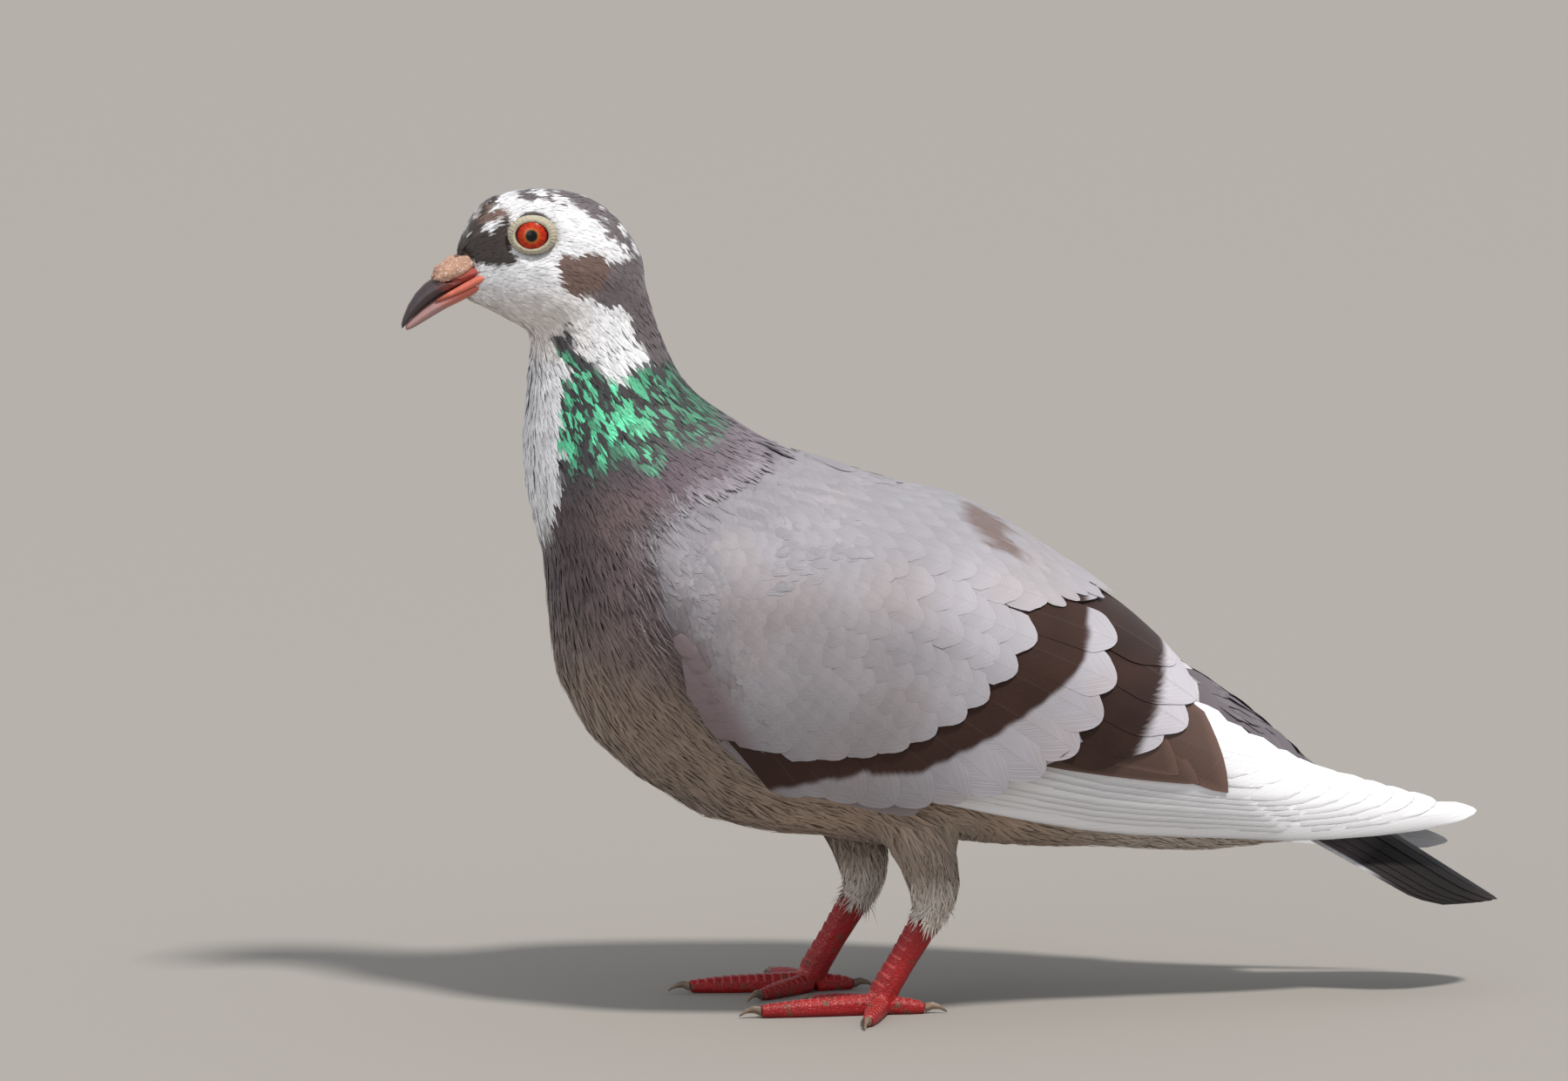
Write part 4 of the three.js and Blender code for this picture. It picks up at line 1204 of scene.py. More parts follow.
def is_shoulder(p, n):
    """The front of the folded wing, where the body's feathers overlap its first coverts."""
    x, z = p[:, 0], p[:, 2]
    return (below_head(p) > 46) & (inside(p, SHOULDER) > -6) & (x < -46) & (z > 72) & (np.abs(p[:, 1]) > 10)


def flatter(p):
    """How far feathers stand off where the mantle or a shoulder follows them, of their usual lift."""
    return 1 - 0.75 * step(0.1, 0.6, behind_front(p))


def is_wisp(p, n):
    """Along the front edge of the folded wing."""
    x, z, edge = p[:, 0], p[:, 2], inside(p, SHOULDER)
    return (edge > -8) & (edge < 7) & (x < -38) & (z > 74) & (z < 134) & (np.abs(p[:, 1]) > 12)


def is_mantle(p, n):
    """The top of the shoulders, between the neck's feathers and the long ones of the back."""
    x, z = p[:, 0], p[:, 2]
    last = -15 + 12 * step(18, 10, np.abs(p[:, 1]))
    return (below_head(p) > 48) & (x >= -46) & (x < last) & (z > mantle_edge(x))


def is_back(p, n):
    x, y, z = p[:, 0], np.abs(p[:, 1]), p[:, 2]
    scapulars = (z > scapular_edge(x) + 1) & (x > -20) & (x < 46)
    rump = (x >= 44) & (x < 118) & (y < 25) & (n[:, 2] > 0.15) & ~on_wing_shield(p)
    return scapulars | rump


def is_rump(p, n):
    return is_back(p, n) & (p[:, 0] > 40)


def is_thigh(p, n):
    return p[:, 2] < 46


BREAST_END = -28
UNDER_SHOULDERS = 0.62  # of the way behind their front, the plumes end under mantle and shoulders


def is_body(p, n):
    covered = (is_mantle(p, n) | is_shoulder(p, n)) & (behind_front(p) > UNDER_SHOULDERS)
    return (below_head(p) >= 46) & ~is_back(p, n) & ~is_thigh(p, n) & ~under_wing(p, 1) & ~covered


def is_breast(p, n):
    return is_body(p, n) & (p[:, 0] < BREAST_END)


def is_belly(p, n):
    return is_body(p, n) & (p[:, 0] >= BREAST_END)


def one_side(region, side):
    """A region on the left or the right of the bird only."""
    return lambda p, n: region(p, n) & (p[:, 1] * side >= 0)


SPACING = {"thigh": 1.9, "rump": 3.6, "shoulder": 1.75, "mantle": 2.6, "wisps": 3.0}  # between feathers' roots
FRONT_SINK = 2.3  # how far the first feathers of mantle and shoulders go under the plumes before them
BILL_BASE = (-104, 189)


class PIGEON_OT_head_coat(bpy.types.Operator):
    """Short tufts over the head, smallest round the bill and the eyes"""

    bl_idname = "pigeon.head_coat"
    bl_label = "Head coat"

    def execute(self, context):
        surface = skin_surface()
        finish = feather_finish("Head tufts", 3, 0, 0, 0.1, 0.02, Sheen_Weight=0.3)
        for name, side in SIDES.items():
            coat = Coat(f"head_coat_{name}", surface, draws(4 + side))
            roots = coat.sow(sizes().head_spacing, one_side(is_head, side))
            eye = norms(roots - (EYE["x"], side * EYE["skin_side"], EYE["z"]))
            bill = norms(roots[:, (0, 2)] - BILL_BASE)
            keep = eye > EYE["bare"]
            coat.roots, coat.normals = roots[keep], coat.normals[keep]
            roots, eye, bill = roots[keep], eye[keep], bill[keep]
            near = np.minimum(step(5.5, 12, eye), step(3, 14, bill))
            growth = 1 + 0.35 * step(-14, 3, below_head(roots))
            long = sizes().head_length * (0.5 + 0.5 * near) * growth
            add_blades(coat, long, 0.42 * growth, 0.22 + 0.14 * near, thick=0.05, sink=0.05, wander=0.09, even=True)
            dress(coat.piece(finish), "head_plumage")
        return {"FINISHED"}


class PIGEON_OT_neck_coat(bpy.types.Operator):
    """Pointed feathers of the neck, with a green shine"""

    bl_idname = "pigeon.neck_coat"
    bl_label = "Neck coat"

    def execute(self, context):
        surface = skin_surface()
        for name, side in SIDES.items():
            coat = Coat(f"neck_coat_{name}", surface, draws(2 + side))
            roots = coat.sow(sizes().neck_spacing, one_side(is_neck, side))
            growth = 0.5 + 0.5 * step(-4, 26, below_head(roots))
            lively = coat.draw.random(len(roots))

            def shining(p):
                colours, shine = plumage(p)
                behind = 1 - 0.6 * step(-70, -52, p[:, 0])
                glint = shine * behind * step(0.4, 0.62, 0.4 * noise(p, 3.2, 20) + 0.6 * lively)
                bright = mottled(paint()["green"], p, 0.75, 0.6, 2.5, 21)
                return blend(blend(colours, colours * 0.6, shine * 0.7), bright, glint), glint * 0.6

            add_blades(coat, sizes().neck_length * growth, 0.8 * growth, (0.4 + 0.4 * growth) * flatter(roots),
                       thick=0.12, fan=2, splay=0.08, wander=0.09, colour_at=shining, even=True)
            piece = coat.piece(feather_finish("Neck feathers", 4, 0, 0, 0.2, 0.06, shining=True))
            dress(piece, "neck_plumage")
        return {"FINISHED"}


class PIGEON_OT_body_coat(bpy.types.Operator):
    """Soft plumes of breast, belly and thighs, and the smooth feathers of back and rump"""

    bl_idname = "pigeon.body_coat"
    bl_label = "Body coat"

    def execute(self, context):
        surface = skin_surface()
        soft = feather_finish("Body plumes", 4, 0, 0, 0.25, 0.12)
        smooth = feather_finish("Rump feathers", 2, 50, 26, 0.08, 0.05, Roughness=0.66)
        for i, (part, region) in enumerate({"breast": is_breast, "belly": is_belly}.items()):
            for k, (name, side) in enumerate(SIDES.items()):
                coat = Coat(f"{part}_coat_{name}", surface, draws(10 + 2 * i + k))
                roots = coat.sow(sizes().body_spacing, one_side(region, side))
                growth = 0.75 + 0.25 * step(46, 70, below_head(roots))
                add_blades(coat, sizes().body_length * growth, 0.66, 1.2 * growth * flatter(roots), thick=0.1, fan=5,
                           splay=0.28, wander=0.1)
                dress(coat.piece(soft), "plumage")
        for name, side in SIDES.items():
            coat = Coat(f"thigh_coat_{name}", surface, draws(20 + side))
            roots = coat.sow(SPACING["thigh"], one_side(is_thigh, side))
            low = step(24, 40, roots[:, 2])
            add_blades(coat, 6 + 3.5 * low, 0.26 + 0.2 * low, 0.25 + 1.1 * low, thick=0.1, fan=4, splay=0.3,
                       wander=0.14, free=step(33, 26, roots[:, 2]))
            dress(coat.piece(soft), "plumage")
        coat = Coat("rump_coat", surface, draws(30))
        coat.sow(SPACING["rump"], is_rump)
        add_vanes(coat, 17, 4.6, 0.8, template=COVERT_VANE)
        dress(coat.piece(smooth), "plumage")
        return {"FINISHED"}


class PIGEON_OT_shoulders(bpy.types.Operator):
    """Small rounded feathers of mantle and shoulders, over the front of both wings, with a few loose wisps"""

    bl_idname = "pigeon.shoulders"
    bl_label = "Shoulders"

    def execute(self, context):
        surface = outer_surface()
        smooth = feather_finish("Shoulder feathers", 2, 50, 26, 0.08, 0.05, Roughness=0.66)
        loose = feather_finish("Loose wisps", 4, 0, 0, 0.15, 0.02)

        def pale(p):
            colours, shine = plumage(p)
            return blend(colours, paint()["back"] * 1.1, 0.25), shine

        for name, side in SIDES.items():
            coat = Coat(f"shoulder_coat_{name}", surface, draws(26 + side))
            roots = coat.sow(SPACING["shoulder"], one_side(is_shoulder, side))
            size = step(-64, -42, roots[:, 0])
            add_vanes(coat, 7.5 + 2.5 * size, 1.5 + 1.2 * size, 0.25, -FRONT_SINK * (1 - behind_front(roots)), sink=0.3)
            roots = coat.sow(SPACING["mantle"], one_side(is_mantle, side))
            add_vanes(coat, 11, 3.3, 0.25, -FRONT_SINK * (1 - behind_front(roots)), sink=0.3)
            dress(coat.piece(smooth), "plumage")
            coat = Coat(f"wisps_{name}", surface, coat.draw)
            coat.sow(SPACING["wisps"], one_side(is_wisp, side))
            add_blades(coat, 6.5, 0.12, 0.35, thick=0.05, wander=0.16, colour_at=pale)
            dress(coat.piece(loose, crisp=False), "plumage")
        return {"FINISHED"}


# ---- wings

def wing_grey(tone, x, height, t):
    """Grey of the wing's coverts, paler at each rim and darker under the row above: fringe and painted shade."""
    p = flat_points(x, height)
    # The step in t makes each feather darker further in and lighter to its rim: partly its paler fringe, partly painted
    # shade where the row above lies over it.
    shade = 0.86 + 0.12 * noise(p, 11, 30) + 0.05 * noise(p, 3, 31) + 0.14 * step(0.5, 0.95, t)
    rusty = 0.5 * step(0.5, 0.7, noise(p, 14, 32))
    base = blend(tone["wing"], tone["wing"] * (1.02, 0.955, 0.9), rusty) * wing_shade(x, height)
    front = step(6, -1, inside(p, SHOULDER)) * step(124, 104, height) * step(-22, -40, x)
    return blend(base * shade[..., None], tone["breast"] * 1.3, 0.8 * front)


def barred(tone, x, height, t, dark_from, dark_to):
    """Grey, then a dark bar between two reaches from the wrist, then grey again."""
    p = flat_points(x, height)
    reach, heading = from_wrist(x, height)
    wave = 1.2 * (noise(p, 3, 33) - 0.5)
    near = step(-0.8, 0.8, reach - along_table(dark_from, heading) + wave)
    far = step(-0.9, 0.9, reach - along_table(dark_to, heading) + wave)
    return blend(wing_grey(tone, x, height, t), mottled(tone["bar"], p, 0.85, 0.3, 7, 34), near * (1 - far))


def lower_hand(points):
    """The right hand feathers, bent down from the wrist, most at their tips."""
    bend = (np.clip(points[..., 0] - RIGHT_HAND["wrist"], 0, None) / (RIGHT_HAND["tip"] - RIGHT_HAND["wrist"])) ** 2
    reach = RIGHT_HAND["tip"] - RIGHT_HAND["wrist"]
    drop = reach * math.tan(math.radians(RIGHT_HAND["droop"]))
    return points - beside(RIGHT_HAND["shorter"] * bend, 0 * bend, drop * bend)


COVERT_ROWS = [1.0, 0.915, 0.835, 0.755, 0.68, 0.605, 0.53]
ROWS_FROM, ROWS_TO = -98, 34  # headings of each row's first and last covert, in degrees above straight back
ROW_RADIUS = 64  # usual reach of the outermost row, to space its coverts by
LESSER_GAP = 4.4  # between the small coverts of one line
# root, middle and tip of the feathers behind the coverts, in side view, from the topmost: x, z. Then half width.
TERTIALS = [
    ((28, 116), (52, 105), (76.5, 89), 9.5),
    ((28, 110), (54, 98), (80.2, 80.5), 10.5),
    ((24, 100), (50, 90), (76.6, 74.5), 10),
    ((20, 92), (46, 82), (69.5, 71), 9),
    ((16, 84), (40, 76), (61, 69), 8),
]
BROWN_SECONDARIES = [
    ((22, 78), (48, 72.5), (73, 66.8), 5.6),
    ((24, 72), (50, 66.5), (78.5, 62.4), 3.8),
    ((36, 84), (60, 77), (86.5, 66.2), 10.5),
]
PRIMARIES = [
    ((26, 88), (64, 78), (93, 68), 8.5),
    ((26, 84), (68, 73), (100, 64), 8.5),
    ((22, 80), (72, 69), (106, 61.5), 8.2),
    ((15, 72), (77, 63.3), (111, 59), 7.8),
    ((15, 69), (77, 61), (116.5, 57.5), 7.2),
    ((15, 66), (77, 58.9), (122, 56.2), 6.8),
    ((15, 63), (77, 56.4), (128, 55.2), 6.3),
    ((15, 61), (77, 54.4), (133.5, 53.8), 5.9),
    ((15, 59), (77, 52.2), (139, 52.4), 5.6),
    ((15, 57.5), (77, 49.9), (145, 50.9), 5.2),
    ((15, 54.5), (77, 46.6), (156, 47.8), 4.7),
]
# The alula: small feathers of the thumb, at the front of the wing's lower edge.
ALULA = [((-44, 73), (-30, 64), (-14, 58.5), 2.6), ((-36, 67), (-16, 59), (6, 54), 2.6)]
# How deep under the wing's outside the quills lie, along x.
SECONDARY_DEPTH = [(22, 3.8), (34, 3.4), (45, 2.8), (65, 2.0), (78, 1.85), (88, 1.6)]
PRIMARY_DEPTH = [(15, 5.6), (34, 5.0), (45, 4.2), (65, 3.0), (82, 2.3), (91, 1.9), (106, 0.8), (140, 0.1)]


class PIGEON_OT_wings(bpy.types.Operator):
    """Coverts, tertials, secondaries and primaries of both folded wings"""

    bl_idname = "pigeon.wings"
    bl_label = "Wings"

    def execute(self, context):
        tone = paint()
        for name, side in SIDES.items():
            draw = draws(40 + side)
            self.coverts(name, side, tone, draw)
            self.quills(name, side, tone, draw)
        return {"FINISHED"}

    def coverts(self, name, side, tone, draw):
        coat, cells = Coat(f"coverts_{name}"), Cells(26)

        def grey(x, z, t, u):
            return wing_grey(tone, x, z, t)

        def greater(x, z, t, u):
            return barred(tone, x, z, t, BAR_START, BAR_REACH)

        for row, share in enumerate(COVERT_ROWS):
            spacing = 4.6 + 3.2 * share
            gap = math.degrees(spacing / (share * ROW_RADIUS))
            spread = np.arange(ROWS_FROM + (row % 2) * gap / 2, ROWS_TO, gap)
            spread = spread + draw.normal(0, 0.08 * gap, len(spread))
            reach = share * along_table(MEDIAN_REACH, spread) + draw.normal(0, 0.3, len(spread))
            tips = fan_tips(spread, reach)
            tips = tips[self.on_shield(tips)]
            long = (9.5 + 8 * share) * draw.uniform(0.94, 1.06, len(tips))
            paths = covert_paths(tips, long, draw.normal(0, 0.05, len(tips)))
            lifts = beside(-0.42 + 0 * long, 0.0 + draw.normal(0, 0.012, len(long)))
            half = 0.76 * spacing * draw.uniform(0.94, 1.06, len(tips))
            wing_feathers(coat, COVERT_VANE, paths, half, lifts, side, grey, cells, draw, tilt=0.01, rib=0.012,
                          droop=0.18)
        tips = self.lesser_tips(draw)
        size = 0.55 + 0.45 * step(-52, -34, tips[:, 0])
        long = np.minimum(13 * size * draw.uniform(0.9, 1.1, len(tips)), tips[:, 0] + 59)
        paths = covert_paths(tips, long, draw.normal(0, 0.08, len(tips)))
        lifts = np.array([-0.4, 0.0]) + draw.normal(0, 0.012, (len(tips), 2))
        wing_feathers(coat, COVERT_VANE, paths, 4.3 * size, lifts, side, grey, cells, draw, tilt=0, rib=0.01, droop=0.2)
        headings = np.linspace(-76, -1, 14)
        tips = fan_tips(headings, along_table(GREATER_REACH, headings))
        paths = covert_paths(tips, 38, 0.0, bow=0.6)
        lifts = np.array([[-1.3, -0.35]])
        wing_feathers(coat, BARRED_VANE, paths, 6.6, lifts, side, greater, cells, draw, tilt=0.06, taper=0.85)
        finish = feather_finish("Wing coverts", 2, 70, 34, 0.07, 0.03, shaft=0.1, Roughness=0.7, Sheen_Weight=0.06,
                                Specular_IOR_Level=0.25)
        dress(coat.piece(finish), "wing_coverts", f"wing_{name}_coverts")

    def on_shield(self, tips):
        """Which tips lie on the coverts' shield, clear of its lower edge and of mantle and scapulars."""
        x, z = tips[:, 0], tips[:, 1]
        top = np.where(x < 4, mantle_edge(x) + 7, scapular_edge(x) + 2)
        return (z > along_table(WING_LOW, x) + 1.5) & (x > -52) & (z < top)

    def lesser_tips(self, draw):
        """Tips of the small coverts inside the rows: a jittered honeycomb over the shoulder."""
        x, z = np.meshgrid(np.arange(-56, 60, LESSER_GAP), np.arange(50, 146, 3.9))
        x = x + (np.arange(x.shape[0]) % 2)[:, None] * LESSER_GAP / 2
        tips = beside(x.ravel(), z.ravel()) + draw.uniform(-0.7, 0.7, (x.size, 2))
        reach, heading = from_wrist(tips[:, 0], tips[:, 1])
        near = reach < (COVERT_ROWS[-1] - 0.05) * along_table(MEDIAN_REACH, heading)
        inner = near | (heading > ROWS_TO) | (heading < ROWS_FROM)
        tips = tips[inner & self.on_shield(tips)]
        return tips[np.argsort(tips[:, 0])]

    def quills(self, name, side, tone, draw):
        coat, cells = Coat(f"flight_{name}"), Cells(6)

        def second_bar(x, z, t, u):
            p = flat_points(x, z)
            edge = 70 + 0.42 * (z - 84) + 1.2 * (noise(p, 3, 35) - 0.5)
            dark = mottled(tone["bar"], p, 0.65, 0.4, 6, 36)
            # Beyond the bar the tips are lighter than the coverts' grey: partly their own paler grey, partly painted
            # light on tips that lie in shade.
            return blend(dark, wing_grey(tone, x, z, t) * 1.25, step(-1.2, 1.2, x - edge))

        def brown(x, z, t, u):
            edge = step(0.88, 0.97, np.abs(u)) * step(0.2, 0.5, t) + step(0.975, 0.995, t)
            return blend(tone["brown"] * (0.85 + 0.25 * t)[..., None], tone["brown"] * 2.2, 0.5 * np.clip(edge, 0, 1))

        def white(x, z, t, u):
            # Darker along each primary's lower edge: painted shade.
            return tone["white"] * (0.98 - 0.34 * step(-0.7, -1, u))[..., None]

        def greyed(x, z, t, u):
            return blend(brown(x, z, t, u), tone["wing"], 0.45)

        # Feathers, vane, colours, how far root and tip stand off the wing, how much lower each next one lies, and form.
        rows = [
            (TERTIALS, BARRED_VANE, second_bar, (-2.2, -0.8), 0.12, {"tilt": 0.08, "taper": 0.82, "tip": 0.6}),
            (BROWN_SECONDARIES, FLIGHT_VANE, brown, (0, 0), 0.12,
             {"tilt": 0.03, "taper": 0.9, "tip": 0.9, "round_by": 0.12, "skew": 0.6, "droop": 0.12,
              "depth": SECONDARY_DEPTH}),
            (PRIMARIES, FLIGHT_VANE, white, (0, 0), 0.1,
             {"tilt": 0.02, "thick": 0.02, "taper": 0.86, "tip": 0.7, "round_by": 0.9, "droop": 0.12,
              "depth": PRIMARY_DEPTH, "bend": lower_hand if side == RIGHT else None}),
            (ALULA, FLIGHT_VANE, greyed, (-3.5, -2.0), 0.3, {}),
        ]
        for table, vane, colour_of, lift, lower, form in rows:
            paths = np.array([row[:3] for row in table], float)
            lifts = np.array(lift) - lower * np.arange(len(table))[:, None]
            wing_feathers(coat, vane, paths, [row[3] for row in table], lifts, side, colour_of, cells, draw, **form)
        finish = feather_finish("Flight feathers", 2, 130, 40, 0.06, 0.03, shaft=0.14, Roughness=0.6, Sheen_Weight=0.06,
                                Specular_IOR_Level=0.25)
        dress(coat.piece(finish), "primaries", f"wing_{name}_secondaries", f"wing_{name}_primaries")


# ---- tail

TAIL_ROOT = {"x": 93, "z": 68.5, "half": 10, "back": -3, "drop": 19}
TAIL_RANKS = [0.1, 0.28, 0.4, 0.48, 0.54, 0.58]  # how far from the middle each pair lies, of the tail's half width
TAIL_TIP = {"x": 163, "z": 22.6, "half": 16.5, "back": 16, "drop": 1.4}


def on_tail(along, across, lift):
    """Points on the arched tail: along from root to tip, across from -1 to 1, lift in millimetres."""
    at = {key: TAIL_ROOT[key] + (TAIL_TIP[key] - TAIL_ROOT[key]) * along for key in TAIL_ROOT}
    out = unit(beside(2 * at["drop"] * across, at["half"] + 0 * across))
    x = at["x"] - at["back"] * across**2
    y = at["half"] * across + out[..., 0] * lift
    z = at["z"] - at["drop"] * across**2 + out[..., 1] * lift
    return beside(x + 0.55 * lift * out[..., 1], y, z)


class PIGEON_OT_back(bpy.types.Operator):
    """Scapulars and mantle: long smooth feathers over the tops of both wings and the spine"""

    bl_idname = "pigeon.back"
    bl_label = "Back"

    def execute(self, context):
        tone, draw = paint(), draws(50)
        coat, cells = Coat("back_coat"), Cells(16)

        def mantle(x, y, t, u):
            side_view = on_back(x, y, 0)
            spot = mark(side_view, MANTLE_SPOT, 0.6, 2.2, 2.4) * step(4, 8, -y)
            grey = wing_grey(tone, x, side_view[..., 2], t)
            neck = step(-14, -34, x + 5 * (noise(side_view, 5, 40) - 0.5))
            grey = blend(grey, tone["purple"] * 1.15, 0.3 * neck)
            return blend(grey, tone["ear"] * 1.1, 0.85 * spot)

        shares = np.linspace(-0.66, 0.66, 15)
        for row, share in enumerate(shares[np.argsort(-np.abs(shares))]):
            inner = step(0.4, 0.25, abs(share))
            first = -12 + 10 * inner
            x = np.arange(first + 3.6 * (row % 4 > 1), 66 - 22 * abs(share), 7.2)
            x = x + draw.uniform(-0.8, 0.8, len(x))
            long = draw.uniform(18, 22, len(x))
            spots = []
            for part in (0, 0.5, 1):  # root, middle and tip
                at = x - long * (1 - part)
                spots.append(beside(at, share * wing_profiles(at)[0] * (1 + 0.1 * part)))
            rise = 0.08 + 0.018 * row
            lifts = np.array([rise - 0.3, rise + 0.1]) + draw.normal(0, 0.012, (len(x), 2))
            lifts[:, 0] -= 1.3 * step(2, -14, x) + 2 * inner * step(10, -2, x)
            wing_feathers(coat, COVERT_VANE, np.stack(spots, axis=1), 4.4, lifts, LEFT, mantle, cells, draw,
                          tilt=0, tip=0.6, taper=0.62, droop=0.5, place=on_back, grow_of=stretch_back)
        finish = feather_finish("Back feathers", 2, 70, 34, 0.07, 0.05, shaft=0.12, Roughness=0.66)
        dress(coat.piece(finish), "plumage")
        return {"FINISHED"}


class PIGEON_OT_tail(bpy.types.Operator):
    """Twelve tail feathers, folded under the middle pair"""

    bl_idname = "pigeon.tail"
    bl_label = "Tail"

    def execute(self, context):
        tone, draw = paint(), draws(60)
        coat, cells = Coat("tail_feathers"), Cells(4)
        t, u, layer = FLIGHT_VANE[0].T
        wide = np.sqrt(1 - 0.5 * np.clip((t - 0.85) / 0.15, 0, 1) ** 2)
        points, colours = [], []
        for rank, apart in enumerate(TAIL_RANKS):
            for side in (LEFT, RIGHT):
                middle = side * apart
                across = middle + u * wide * 0.4
                across = across + np.clip(1 - np.abs(across), None, 0) * np.sign(across)
                along = t * (1 - 0.01 * rank) - 0.03 * u**2 * step(0.7, 1, t)
                lift = 0.2 - 0.16 * rank - 0.06 * (side == LEFT) + layer * 0.05 * (1 - u**2)
                lift = lift + np.where((np.abs(u) < 0.02) & (layer > 0), 0.08, 0)
                points.append(on_tail(along, across, lift))
                dark = step(0.45, 0.6, along)
                base = blend(np.broadcast_to(tone["slate"] * 0.6, (len(t), 3)), tone["tail"], dark)
                base = blend(base, tone["brown"] * 0.6, step(0.965, 0.99, along) * 0.4)
                outer = step(0.6, 0.9, side * u) * (rank == len(TAIL_RANKS) - 1) * step(0.7, 0.5, along)
                colours.append(blend(base, tone["white"] * 0.7, outer) * draw.normal(1, 0.05))
        patches, size = cells(len(points))
        coat.add(FLIGHT_VANE, np.array(points), np.array(colours), patches, size)
        finish = feather_finish("Tail feathers", 2, 130, 60, 0.1, 0.04, shaft=0.2, Roughness=0.5, Sheen_Weight=0.0,
                                Specular_IOR_Level=0.2)
        dress(coat.piece(finish), "tail_feathers", "tail")
        return {"FINISHED"}


# ---- eyes

# The eye: bulge is how far the ball stands out of the face, forward the degrees that it looks ahead, skin_side how far
# to the side the face lies there, and bare the radius without feathers.
EYE = {"x": -88.8, "z": 200.6, "side": 10.9, "radius": 5.6, "bulge": 1.3, "forward": 13.0, "skin_side": 9.5,
       "bare": 6.2}
RING = {"radius": 5.0, "thickness": 1.0}


def eye_frame(side):
    """Middle of the eyeball in metres, and the way it looks."""
    forward = math.radians(EYE["forward"])
    axis = Vector((-math.sin(forward), side * math.cos(forward), 0))
    middle = Vector((EYE["x"], side * EYE["side"], EYE["z"])) + axis * (EYE["bulge"] - EYE["radius"])
    return Vector(to_scene(middle)), axis


def eye_finish():
    tone = paint()
    finish = Finish("Pigeon eye", Roughness=0.3, Specular_IOR_Level=0.15, Coat_Weight=0.6, Coat_Roughness=0.03,
                    Coat_IOR=1.35)
    around, outwards, _ = parts_of(finish.tree, finish.uv("UVMap"))
    ramp = finish.node("ShaderNodeValToRGB")
    # Rings of colour from the back of the ball to its front: iris, a paler inner iris, its dark edge, the pupil.
    stops = [(0.0, (0.02, 0.012, 0.01)), (0.752, (0.03, 0.015, 0.01)), (0.768, tuple(tone["iris"] * 0.45)),
             (0.79, tuple(tone["iris"] * 0.8)), (0.87, tuple(tone["iris"] * (1.0, 1.6, 1.0))),
             (0.9, (0.5, 0.12, 0.015)), (0.914, (0.1, 0.07, 0.02)), (0.924, (0.004, 0.003, 0.003)),
             (1.0, (0.002, 0.002, 0.002))]
    elements = ramp.color_ramp.elements
    while len(elements) < len(stops):
        elements.new(0.5)
    for element, (place, value) in zip(elements, stops):
        element.position = place
        element.color = (*value, 1)
    rays = vector_of(finish.tree, maths(finish.tree, "MULTIPLY", around, 46.0),
                     maths(finish.tree, "MULTIPLY", outwards, 9.0))
    fibre = noise_node(finish.tree, rays, 1, 2.0, dimensions="2D")
    shifted = maths(finish.tree, "ADD", outwards, finish.ranged(fibre, 0.2, 0.8, -0.008, 0.008))
    finish.tree.links.new(shifted, ramp.inputs[0])
    finish.link(finish.shaded(ramp.outputs[0], finish.ranged(fibre, 0.3, 0.7, 0.7, 1.15)))
    return finish.material


def ring_finish():
    tone = paint()
    finish = Finish("Eye ring skin", Roughness=0.55, Specular_IOR_Level=0.4)
    grain = finish.grain(0.35)
    share = finish.ranged(grain["Fine"], 0.35, 0.65)
    base = finish.mixed("MIX", share, tone["ring"] * 0.8, tone["ring"] * 1.15)
    finish.link(base)
    finish.bump(grain["Cells"], 0.08)
    return finish.material


class PIGEON_OT_eyes(bpy.types.Operator):
    """Eyeballs with painted irises, and the beaded rings of bare skin round them"""

    bl_idname = "pigeon.eyes"
    bl_label = "Eyes"

    def execute(self, context):
        ball_finish, skin = eye_finish(), ring_finish()
        for name, side in SIDES.items():
            middle, axis = eye_frame(side)
            turn = axis.to_track_quat("Z", "Y").to_euler()
            bpy.ops.object.select_all(action="DESELECT")
            bpy.ops.mesh.primitive_uv_sphere_add(segments=64, ring_count=48, radius=EYE["radius"] / METRE,
                                                 location=middle, rotation=turn)
            ball = self.settle(f"eyeball_{name}", ball_finish)
            dress(ball, "eye", f"eye_{name}")
            bpy.ops.object.select_all(action="DESELECT")
            bpy.ops.mesh.primitive_torus_add(major_segments=120, minor_segments=14, major_radius=RING["radius"] / METRE,
                                             minor_radius=RING["thickness"] / METRE, location=middle, rotation=turn)
            ring = self.settle(f"ring_{name}", skin)
            self.bead(ring, middle, axis)
            dress(ring, "eye_ring", f"eye_ring_{name}")
        return {"FINISHED"}

    def settle(self, name, finish):
        """Names the new primitive, gives it its finish and leaves its place in its mesh."""
        piece = bpy.context.object
        piece.name = piece.data.name = name
        bpy.ops.object.transform_apply(location=True, rotation=True, scale=True)
        piece.data.materials.append(finish)
        smooth_faces(piece)
        return piece

    def bead(self, ring, middle, axis):
        """Shapes a torus round the eyeball into two rows of beads that slope back to the face."""
        points, _ = read_points(ring)
        centre, out = to_bird(np.array(middle)), np.array(axis)
        off = points - centre
        high = off @ out
        flat = off - high[:, None] * out
        radius = norms(flat)
        around = np.arctan2(flat[:, 2], flat @ np.cross(out, (0, 0, 1)))
        top = np.clip(high, 0, None)
        bead = 0.16 * np.cos(around * 40) * step(4.4, 4.7, radius) * step(5.2, 4.8, radius)
        bead = bead + 0.2 * np.cos(around * 32 + 1) * step(5.0, 5.3, radius)
        slope = 4.35 - 1.1 * step(4.6, 6.3, radius)
        raised = np.where(high > 0, slope + top * 0.35 + bead * step(0, 0.6, high), slope - 1.6 + high)
        flat = flat * 1.05
        flat[:, 2] *= 0.8
        write_points(ring, centre + flat + raised[:, None] * out)


# ---- bill and cere

